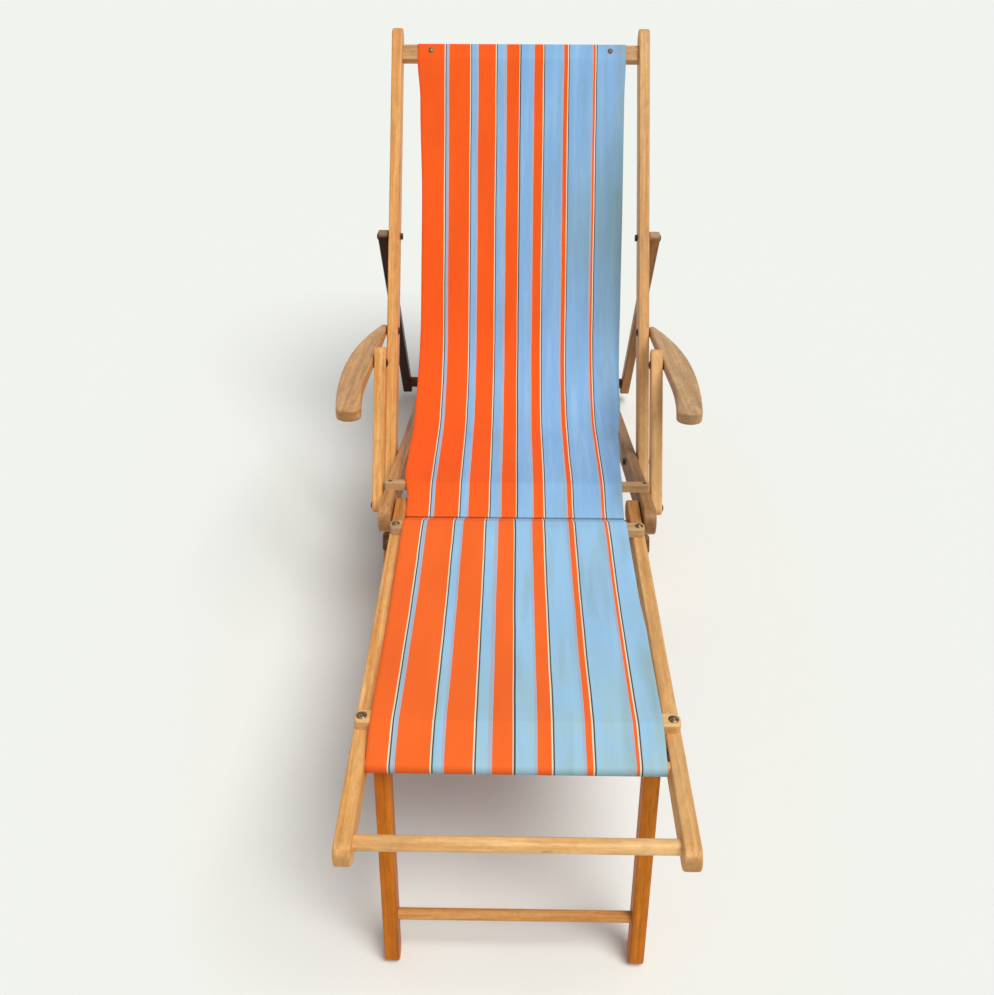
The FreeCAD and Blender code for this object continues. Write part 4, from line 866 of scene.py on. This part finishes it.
@dataclass(frozen=True)
class ScrewSlots:
    """Driver slots in the lath and crossbar screws, each turned its own way: near-black strips of painted
    shade in place of grooves.
    """

    pairs: tuple[ScrewPair, ...] = (
        ScrewPair("rear_lath", "footrest", REST_ANGLE, 211 * MM, 10.2 * MM, (12, 68)),
        ScrewPair("knee_lath", "footrest", REST_ANGLE, 211 * MM, 10.2 * MM, (-35, 5)),
        ScrewPair("seat_crossbar", "seat_frame", SEAT_ANGLE, 235 * MM, 7.5 * MM, (80, -20)))
    head_radius: float = 4.2 * MM
    head_height: float = 2.2 * MM
    half_length: float = 3.5 * MM
    half_width: float = 0.45 * MM
    proud: float = 0.06 * MM
    sunk: float = 0.3 * MM
    steps: int = 8

    def strip(self, name: str, base: Vector, up: Vector, along: Vector) -> bpy.types.Object:
        """Make one slot as a thin strip that follows the domed head.

        Args:
            name: Name of the piece.
            base: Middle of the head's flat side.
            up: Direction of the screw's axis.
            along: Direction of the slot.

        Returns:
            The strip.
        """
        ball = (self.head_radius ** 2 + self.head_height ** 2) / (2 * self.head_height)
        sideways = up.cross(along)
        corners = ((-1, self.proud), (1, self.proud), (1, -self.sunk), (-1, -self.sunk))
        vertices, faces = [], []
        for step in range(self.steps + 1):
            place = self.half_length * (2 * step / self.steps - 1)
            height = math.sqrt(ball ** 2 - place ** 2) - (ball - self.head_height)
            for side, lift in corners:
                vertices.append(base + along * place + sideways * (side * self.half_width)
                                + up * (height + lift))
        for step in range(self.steps):
            for side in range(4):
                first, second = 4 * step + side, 4 * step + (side + 1) % 4
                faces.append((first, second, second + 4, first + 4))
        faces += [(3, 2, 1, 0), tuple(4 * self.steps + side for side in range(4))]
        return new_piece(name, vertices, faces)

    def make(self) -> None:
        """Make the six slots."""
        # The strips' near-black colour is painted shade of the slots' grooves.
        grime = SLOT_SHADE.material()
        for pair in self.pairs:
            middle = middle_of(pair.node)[0]
            up, front = in_plane(90 - pair.slope), in_plane(180 - pair.slope)
            for name, side, degrees in zip(("left", "right"), (-1, 1), pair.turns):
                turn = math.radians(degrees)
                along = Vector((math.cos(turn), 0, 0)) + front * math.sin(turn)
                base = middle + up * pair.rise + Vector((side * pair.across, 0, 0))
                piece = self.strip(f"{pair.node}_slot_{name}", base, up, along)
                put_on(piece, grime)
                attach(piece, pair.body)
                LOG.info("ScrewSlots: %s", piece.name)


@dataclass(frozen=True)
class Roller:
    """A round that the canvas touches, seen from the side.

    The radius is negative where the canvas hangs below the centre instead of lying on it.
    """

    centre: Vector
    radius: float
    meets: Touch = Touch.LIES


@dataclass(frozen=True)
class Station:
    """A line across the canvas.

    It has a middle point, an upward normal, how freely it hangs, from 0 to 1, and its distance along.
    """

    point: Vector
    normal: Vector
    free: float
    run: float


@dataclass(frozen=True)
class Length:
    """One length of the canvas: its side profile, the lines of its edges and how it hangs."""

    name: str
    route: list[Station]
    left: EdgeLine
    right: EdgeLine
    dish: float
    seed: float
    start: float = 0.0
    curl: float = 0.0
    drift: float = 0.0
    widen: float = 0.0


def touching_normal(first: Roller, second: Roller, near: float) -> float:
    """Find the normal of the straight run between two rollers.

    Args:
        first: Roller that the run leaves.
        second: Roller that it reaches.
        near: Rough angle in degrees, which picks one of the two answers.

    Returns:
        The normal's angle in degrees.
    """
    line = second.centre - first.centre
    swing = math.degrees(math.acos((first.radius - second.radius) / line.length))
    options = [(angle_of(line) + side * swing) % 360 for side in (1, -1)]
    return min(options, key=lambda angle: abs(angle - near))


@dataclass(frozen=True)
class CanvasSling:
    """The striped canvas: hung from the top bar, over the crossbar and the hinge, to the front bar.

    It is cut 454 mm wide. A narrow hem is turned under along the back, and a wide one from the seat on,
    where the frame is narrower. It hangs a little askew, so each edge has its own line: distances along
    the cloth and half widths there, in millimetres. Ripples and crinkles have a height, and how many
    there are to a metre across and along.
    """

    thickness: float = 0.75 * MM
    skin: float = 1.25 * MM
    cut_left: float = 224 * MM
    cut_right: float = 230 * MM
    seat_left: EdgeLine = (
        (0, 215), (84, 215.5), (166, 209.5), (373, 205), (582, 206), (811, 210), (952, 209), (1093, 208),
        (1165, 199), (1260, 198))
    seat_right: EdgeLine = (
        (0, 220), (84, 220), (166, 218), (373, 218), (582, 217), (811, 213), (952, 201), (1093, 193.5),
        (1165, 191), (1260, 190))
    rest_left: EdgeLine = ((0, 198), (122, 198.2), (380, 197.8), (700, 198.5))
    rest_right: EdgeLine = ((0, 190), (122, 189.5), (281, 191.3), (380, 194.9), (700, 196))
    rest_drift: float = -4 * MM
    rest_widen: float = 0.042
    widen_at_start: float = 0.3
    curl_height: float = 5 * MM
    curl_width: float = 9 * MM
    curl_from: float = 900 * MM
    curl_to: float = 1185 * MM
    hem_steps: int = 4
    hem_drop: float = 0.85 * MM
    hem_bulge: float = 0.4 * MM
    hem_slack: float = 0.2 * MM
    ripple: tuple[float, float, float] = (1.6 * MM, 9.0, 2.2)
    crinkle: tuple[float, float, float] = (0.5 * MM, 30.0, 5.0)
    crinkle_seed: float = 4.0
    seat_seed: float = 3.1
    rest_seed: float = 7.7
    bar_edge: float = 3 * MM
    top_bar_half: float = 17 * MM
    top_bar_half_thick: float = 10 * MM
    tail: float = 12 * MM
    crossbar_half: float = 10 * MM
    crossbar_half_thick: float = 7.5 * MM
    hinge_radius: float = 10 * MM
    sag_radius: float = 274 * MM
    sag_behind: float = 22 * MM
    sag_above: float = 77 * MM
    sag_dish: float = 7 * MM
    crease_turn: float = 4.0
    sleeve_turn: float = 92.0
    sleeve_past: float = 7.0
    sleeve_radius: float = 10.45 * MM
    lath_edge: float = 4 * MM
    lath_half: float = 12 * MM
    lath_half_thick: float = 8 * MM
    rest_sag: float = 7 * MM
    rest_tightness: float = 0.8
    rest_dish: float = 2 * MM
    front_bar_radius: float = 9 * MM
    front_wrap: float = 205.0
    blend_start: tuple[float, float, float] = (0.0, -0.116, 0.088)
    blend_end: tuple[float, float, float] = (0.0, 0.114, 0.118)
    column_gap: float = 6 * MM
    row_gap: float = 6 * MM
    turn_gap: float = 9.0
    least_gap: float = 0.2 * MM
    free_reach: float = 90 * MM

    def stations(self, rollers: list[Roller], normals: list[float]) -> list[Station]:
        """Lay the side profile round its rollers.

        Args:
            rollers: Rounds in order along the cloth.
            normals: Angles of the normals at the start, between rollers and at the end.

        Returns:
            Stations with their distance along the cloth.
        """
        places: list[tuple[Vector, Vector, Touch]] = []
        for roller, start, end in zip(rollers, normals, normals[1:]):
            steps = max(1, round(abs(end - start) / self.turn_gap),
                        round(abs(roller.radius * math.radians(end - start)) / self.row_gap))
            for step in range(steps + 1):
                normal = in_plane(start + (end - start) * step / steps)
                point = roller.centre + normal * roller.radius
                if places and (point - places[-1][0]).length < self.least_gap:
                    continue
                if places and step == 0:
                    places += self.between(places[-1], point, normal)
                places.append((point, normal, roller.meets))
        touched = [point for point, _, meets in places if meets is Touch.LIES]
        made, run = [], 0.0
        for index, (point, normal, _) in enumerate(places):
            run += (point - places[index - 1][0]).length if index else 0.0
            clear = min((point - other).length for other in touched)
            made.append(Station(point, normal, min(1.0, clear / self.free_reach), run))
        return made

    def between(self, last: tuple[Vector, Vector, Touch], point: Vector,
                normal: Vector) -> list[tuple[Vector, Vector, Touch]]:
        """Divide a straight run.

        Args:
            last: Place that it leaves.
            point: Point that it reaches.
            normal: Normal there.

        Returns:
            The places between them.
        """
        steps = math.ceil((point - last[0]).length / self.row_gap)
        shares = [step / steps for step in range(1, steps)]
        return [(last[0].lerp(point, share), last[1].lerp(normal, share).normalized(), Touch.CLEAR)
                for share in shares]

    def seat_route(self) -> list[Station]:
        """Follow the back and seat: from behind the top bar to the crease.

        Returns:
            The stations.
        """
        bar, pivot, crossbar, hinge = middle_of("top_bar", "back_pivot_washers", "seat_crossbar", "hinge_bar")
        up, front = in_plane(BACK_ANGLE), in_plane(BACK_ANGLE + 90)
        wide, thick = self.top_bar_half - self.bar_edge, self.top_bar_half_thick - self.bar_edge
        over = self.bar_edge + self.skin
        seat_up, seat_on = in_plane(90 - SEAT_ANGLE), in_plane(180 - SEAT_ANGLE)
        sag = pivot + Vector((0, self.sag_behind, self.sag_above + self.sag_radius))
        corner = (crossbar + seat_up * (self.crossbar_half_thick - self.bar_edge)
                  + seat_on * (self.crossbar_half - self.bar_edge))
        rollers = [
            Roller(bar - up * self.tail - front * thick, over),
            Roller(bar + up * wide - front * thick, over),
            Roller(bar + up * wide + front * thick, over),
            Roller(bar - up * wide + front * thick, over),
            Roller(sag, -self.sag_radius, Touch.CLEAR),
            Roller(corner, over),
            Roller(hinge, self.hinge_radius + self.skin),
        ]
        leave = touching_normal(rollers[3], rollers[4], near=BACK_ANGLE + 100)
        arrive = touching_normal(rollers[4], rollers[5], near=80)
        onward = touching_normal(rollers[5], rollers[6], near=90)
        return self.stations(rollers, [BACK_ANGLE - 90, BACK_ANGLE - 90, BACK_ANGLE, BACK_ANGLE + 90, leave,
                                       arrive, onward, onward + self.crease_turn])

    def rest_route(self, crease: float) -> list[Station]:
        """Follow the footrest: from a sleeve on the hinge bar, under the seat's end, to the front bar.

        Args:
            crease: Angle of the normal at the crease, in degrees.

        Returns:
            The stations.
        """
        hinge, rear, knee, bar = middle_of("hinge_bar", "rear_lath", "knee_lath", "canvas_bar")
        face = 90 - REST_ANGLE
        up, along = in_plane(face), in_plane(face + 90)
        over = self.lath_edge + self.skin
        reach, rise = self.lath_half - self.lath_edge, self.lath_half_thick - self.lath_edge
        half = ((knee - rear).length - 2 * reach) / 2
        radius = self.rest_tightness * (half ** 2 + self.rest_sag ** 2) / (2 * self.rest_sag)
        sag = (rear + knee) / 2 + up * (self.lath_half_thick + self.skin - self.rest_sag + radius)
        sleeve = Roller(hinge, self.sleeve_radius)
        rollers = [
            sleeve,
            sleeve,
            Roller(rear - along * reach + up * rise, over),
            Roller(rear + along * reach + up * rise, over),
            Roller(sag, -radius, Touch.CLEAR),
            Roller(knee - along * reach + up * rise, over),
            Roller(knee + along * reach + up * rise, over),
            Roller(bar, self.front_bar_radius + self.skin),
        ]
        climb = touching_normal(rollers[1], rollers[2], near=face - 60)
        into = touching_normal(rollers[3], rollers[4], near=face)
        out = touching_normal(rollers[4], rollers[5], near=face)
        leave = touching_normal(rollers[6], rollers[7], near=face + 20)
        return self.stations(rollers, [crease - self.sleeve_turn, crease + self.sleeve_past, climb, face,
                                       into, out, face, leave, leave + self.front_wrap])

    def half_at(self, line: EdgeLine, run: float) -> float:
        """Read an edge's line, eased between its points.

        Args:
            line: The line.
            run: Distance along the cloth, in metres.

        Returns:
            Half width there, in metres.
        """
        for (low, first), (high, last) in zip(line, line[1:]):
            if run <= high * MM:
                share = max(0.0, (run / MM - low) / (high - low))
                return (first + (last - first) * share * share * (3 - 2 * share)) * MM
        return line[-1][1] * MM

    def hem(self, edge: float, side: int, cut: float) -> list[tuple[float, float, float]]:
        """Turn one edge under.

        Args:
            edge: Where the edge lies across the chair.
            side: -1 for the left edge, 1 for the right one.
            cut: How far the cloth was cut from its middle.

        Returns:
            Places across the chair and across the flat cloth, and the drop there.
        """
        flap = []
        for step in range(1, self.hem_steps + 1):
            back = (cut - abs(edge)) * (step - 1) / (self.hem_steps - 1)
            bulge = self.hem_bulge if step == 1 else 0.0
            flap.append((edge - side * (back - bulge), edge + side * (back + self.hem_slack * step),
                         -self.hem_drop * min(1.0, step / 2)))
        return flap

    def curled(self, run: float) -> float:
        """Rise from 0 to 1 and fall again over the stretch where the left edge curls up."""
        share = (run - self.curl_from) / (self.curl_to - self.curl_from)
        return math.sin(math.pi * share) ** 2 if 0 < share < 1 else 0.0

    def rippled(self, x: float, run: float, seed: float) -> float:
        """Give the height of the ripples and crinkles.

        Args:
            x: Place across the chair, in metres.
            run: Place along the cloth.
            seed: Place in the noise.

        Returns:
            The height in metres.
        """
        height, across, along = self.ripple
        total = noise.noise(Vector((x * across + seed, run * along, seed))) * height
        height, across, along = self.crinkle
        return total + noise.noise(Vector((x * across, run * along, seed + self.crinkle_seed))) * height

    def sheet(self, length: Length) -> bpy.types.Object:
        """Make one length of the canvas with its edges turned under.

        Args:
            length: What it follows.

        Returns:
            The sheet, with its thickness.
        """
        columns = round((self.cut_left + self.cut_right) / self.column_gap)
        vertices, cloth = [], []
        for station in length.route:
            near, far = -self.half_at(length.left, station.run), self.half_at(length.right, station.run)
            row = [(near + (far - near) * step / columns,) * 2 + (0.0,) for step in range(columns + 1)]
            row = self.hem(near, -1, self.cut_left)[::-1] + row + self.hem(far, 1, self.cut_right)
            middle, half = (near + far) / 2, (far - near) / 2
            curl = length.curl * self.curled(station.run)
            share = station.run / length.route[-1].run
            widen = length.widen * (self.widen_at_start + (1 - self.widen_at_start) * share)
            for x, s, drop in row:
                edge = min(1.0, abs(x - middle) / half)
                loose = self.rippled(x, station.run, length.seed) - length.dish * (1 - edge * edge)
                lift = loose * station.free + drop + curl * math.exp(-((x - near) / self.curl_width) ** 2)
                vertices.append(station.point + station.normal * lift + Vector((x, 0, 0)))
                cloth.append((s - length.drift - widen * s, length.start + station.run))
        width = columns + 1 + 2 * self.hem_steps
        faces = [(row * width + column, row * width + column + 1, (row + 1) * width + column + 1,
                  (row + 1) * width + column)
                 for row in range(len(length.route) - 1) for column in range(width - 1)]
        piece = new_piece(length.name, vertices, faces)
        layer = piece.data.uv_layers.new(name="cloth")
        for loop in piece.data.loops:
            layer.data[loop.index].uv = cloth[loop.vertex_index]
        piece.data.polygons.foreach_set("use_smooth", [True] * len(faces))
        solid = piece.modifiers.new("thickness", "SOLIDIFY")
        solid.thickness, solid.offset = self.thickness, 0.0
        depsgraph = bpy.context.evaluated_depsgraph_get()
        applied = bpy.data.meshes.new_from_object(piece.evaluated_get(depsgraph))
        piece.modifiers.clear()
        piece.data = applied
        return piece

    def make(self) -> None:
        """Make the whole canvas, in two lengths that meet at the crease."""
        seat_route = self.seat_route()
        rest_route = self.rest_route(angle_of(seat_route[-1].normal))
        crease = seat_route[-1].run
        start = crease - self.sleeve_radius * math.radians(self.sleeve_turn)
        fabric = CANVAS.material(crease, start + rest_route[-1].run)
        seat = self.sheet(Length("canvas_sling_seat", seat_route, self.seat_left, self.seat_right,
                                 self.sag_dish, self.seat_seed, curl=self.curl_height))
        rest = self.sheet(Length("canvas_sling_footrest", rest_route, self.rest_left, self.rest_right,
                                 self.rest_dish, self.rest_seed, start=start, drift=self.rest_drift,
                                 widen=self.rest_widen))
        for piece in (seat, rest):
            put_on(piece, fabric)
        pivot = middle_of("back_pivot_washers")[0]
        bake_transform(seat)
        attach(rest, "footrest")
        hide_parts("canvas_seat")
        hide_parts("canvas_footrest")
        for piece, route in ((seat, seat_route), (rest, rest_route)):
            LOG.info("CanvasSling: %s, %.0f mm long", piece.name, route[-1].run / MM)


@dataclass(frozen=True)
class Studio:
    """Plain pale floor, soft light from the right and the camera of the photograph."""

    floor: str = "#F3F4EF"
    floor_reach: float = 40.0
    sky: str = "#F4FBFF"
    sun: str = "#FFFEFB"
    sky_strength: float = 0.34
    sun_strength: float = 2.36
    sun_spread: float = 34.0
    sun_height: float = 64.0
    sun_side: float = 132.0
    before_pivot: float = 1.74705
    side: float = -0.013
    eye_height: float = 1.519
    pitch: float = 38.40
    yaw: float = -0.90
    roll: float = -0.02
    focal_pixels: float = 1050.0
    sensor: float = 36.0

    def light(self) -> None:
        """Set the sky and the lamp. Camera, mirror and glass rays see a backdrop of the floor's colour."""
        world = bpy.data.worlds.new("pale_room")
        bpy.context.scene.world = world
        world.use_nodes = True
        tree = world.node_tree
        tree.nodes.clear()
        rays = add_node(tree, "ShaderNodeLightPath").outputs
        seen = rays["Is Camera Ray"]
        for kind in ("Is Glossy Ray", "Is Transmission Ray"):
            seen = add_node(tree, "ShaderNodeMath", (seen, rays[kind]), operation="MAXIMUM").outputs[0]
        fill, backdrop = (
            add_node(tree, "ShaderNodeBackground", {"Color": linear(code), "Strength": strength}).outputs[0]
            for code, strength in ((self.sky, self.sky_strength), (self.floor, 1.0)))
        chosen = add_node(tree, "ShaderNodeMixShader", (seen, fill, backdrop))
        add_node(tree, "ShaderNodeOutputWorld", (chosen.outputs[0],))
        lamp = bpy.data.lights.new("soft_window", "SUN")
        lamp.energy, lamp.angle = self.sun_strength, math.radians(self.sun_spread)
        lamp.color = linear(self.sun)[:3]
        holder = bpy.data.objects.new("soft_window", lamp)
        side, height = math.radians(self.sun_side), math.radians(self.sun_height)
        toward = Vector((math.sin(side) * math.cos(height), math.cos(side) * math.cos(height),
                         math.sin(height)))
        holder.rotation_mode = "QUATERNION"
        holder.rotation_quaternion = toward.to_track_quat("Z", "Y")
        bpy.context.scene.collection.objects.link(holder)

    def lay_floor(self) -> None:
        """Lay the floor: matt pale paper, on which the eye sees only the shadow."""
        corners = [Vector((self.floor_reach * x, self.floor_reach * y, 0))
                   for x, y in ((-1, -1), (1, -1), (1, 1), (-1, 1))]
        floor = new_piece("floor", corners, [(0, 1, 2, 3)])
        material, tree = new_material("pale_paper")
        surface = add_node(tree, "ShaderNodeBsdfDiffuse", {"Color": linear(self.floor)})
        add_node(tree, "ShaderNodeOutputMaterial", (surface.outputs[0],))
        put_on(floor, material)

    def set_camera(self) -> None:
        """Stand the camera where the photograph was taken."""
        camera = bpy.data.cameras.new("camera")
        camera.sensor_width = self.sensor
        camera.lens = self.sensor * self.focal_pixels / IMAGE_HEIGHT
        camera.clip_end = 100.0
        holder = bpy.data.objects.new("camera", camera)
        pitch, yaw = math.radians(self.pitch), math.radians(self.yaw)
        ahead = Vector((math.sin(yaw) * math.cos(pitch), math.cos(yaw) * math.cos(pitch), -math.sin(pitch)))
        right = Vector((math.cos(yaw), -math.sin(yaw), 0))
        right.rotate(Matrix.Rotation(math.radians(self.roll), 3, ahead))
        up = right.cross(ahead)
        turn = Matrix((right, up, -ahead)).transposed()
        pivot = middle_of("back_pivot_washers")[0]
        place = Vector((self.side, pivot.y - self.before_pivot, self.eye_height))
        holder.matrix_world = Matrix.Translation(place) @ turn.to_4x4()
        bpy.context.scene.collection.objects.link(holder)
        bpy.context.scene.camera = holder

    def make(self) -> None:
        """Make the camera, the floor and the light."""
        self.set_camera()
        self.lay_floor()
        self.light()
        bpy.context.scene.view_settings.view_transform = "Standard"
        LOG.info("Studio: camera, floor and light")


def main() -> None:
    """Dress the chair."""
    logging.basicConfig(level=logging.INFO, format="%(name)s: %(message)s")
    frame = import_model()
    nodes = frame["nodes"]
    Studio().make()
    for part in (BackFrame(), SeatFrame(), Prop(), Arms(), Footrest(), Fixings()):
        part.dress(nodes)
    ScrewSlots().make()
    CanvasSling().make()


if __name__ == "__main__":
    main()
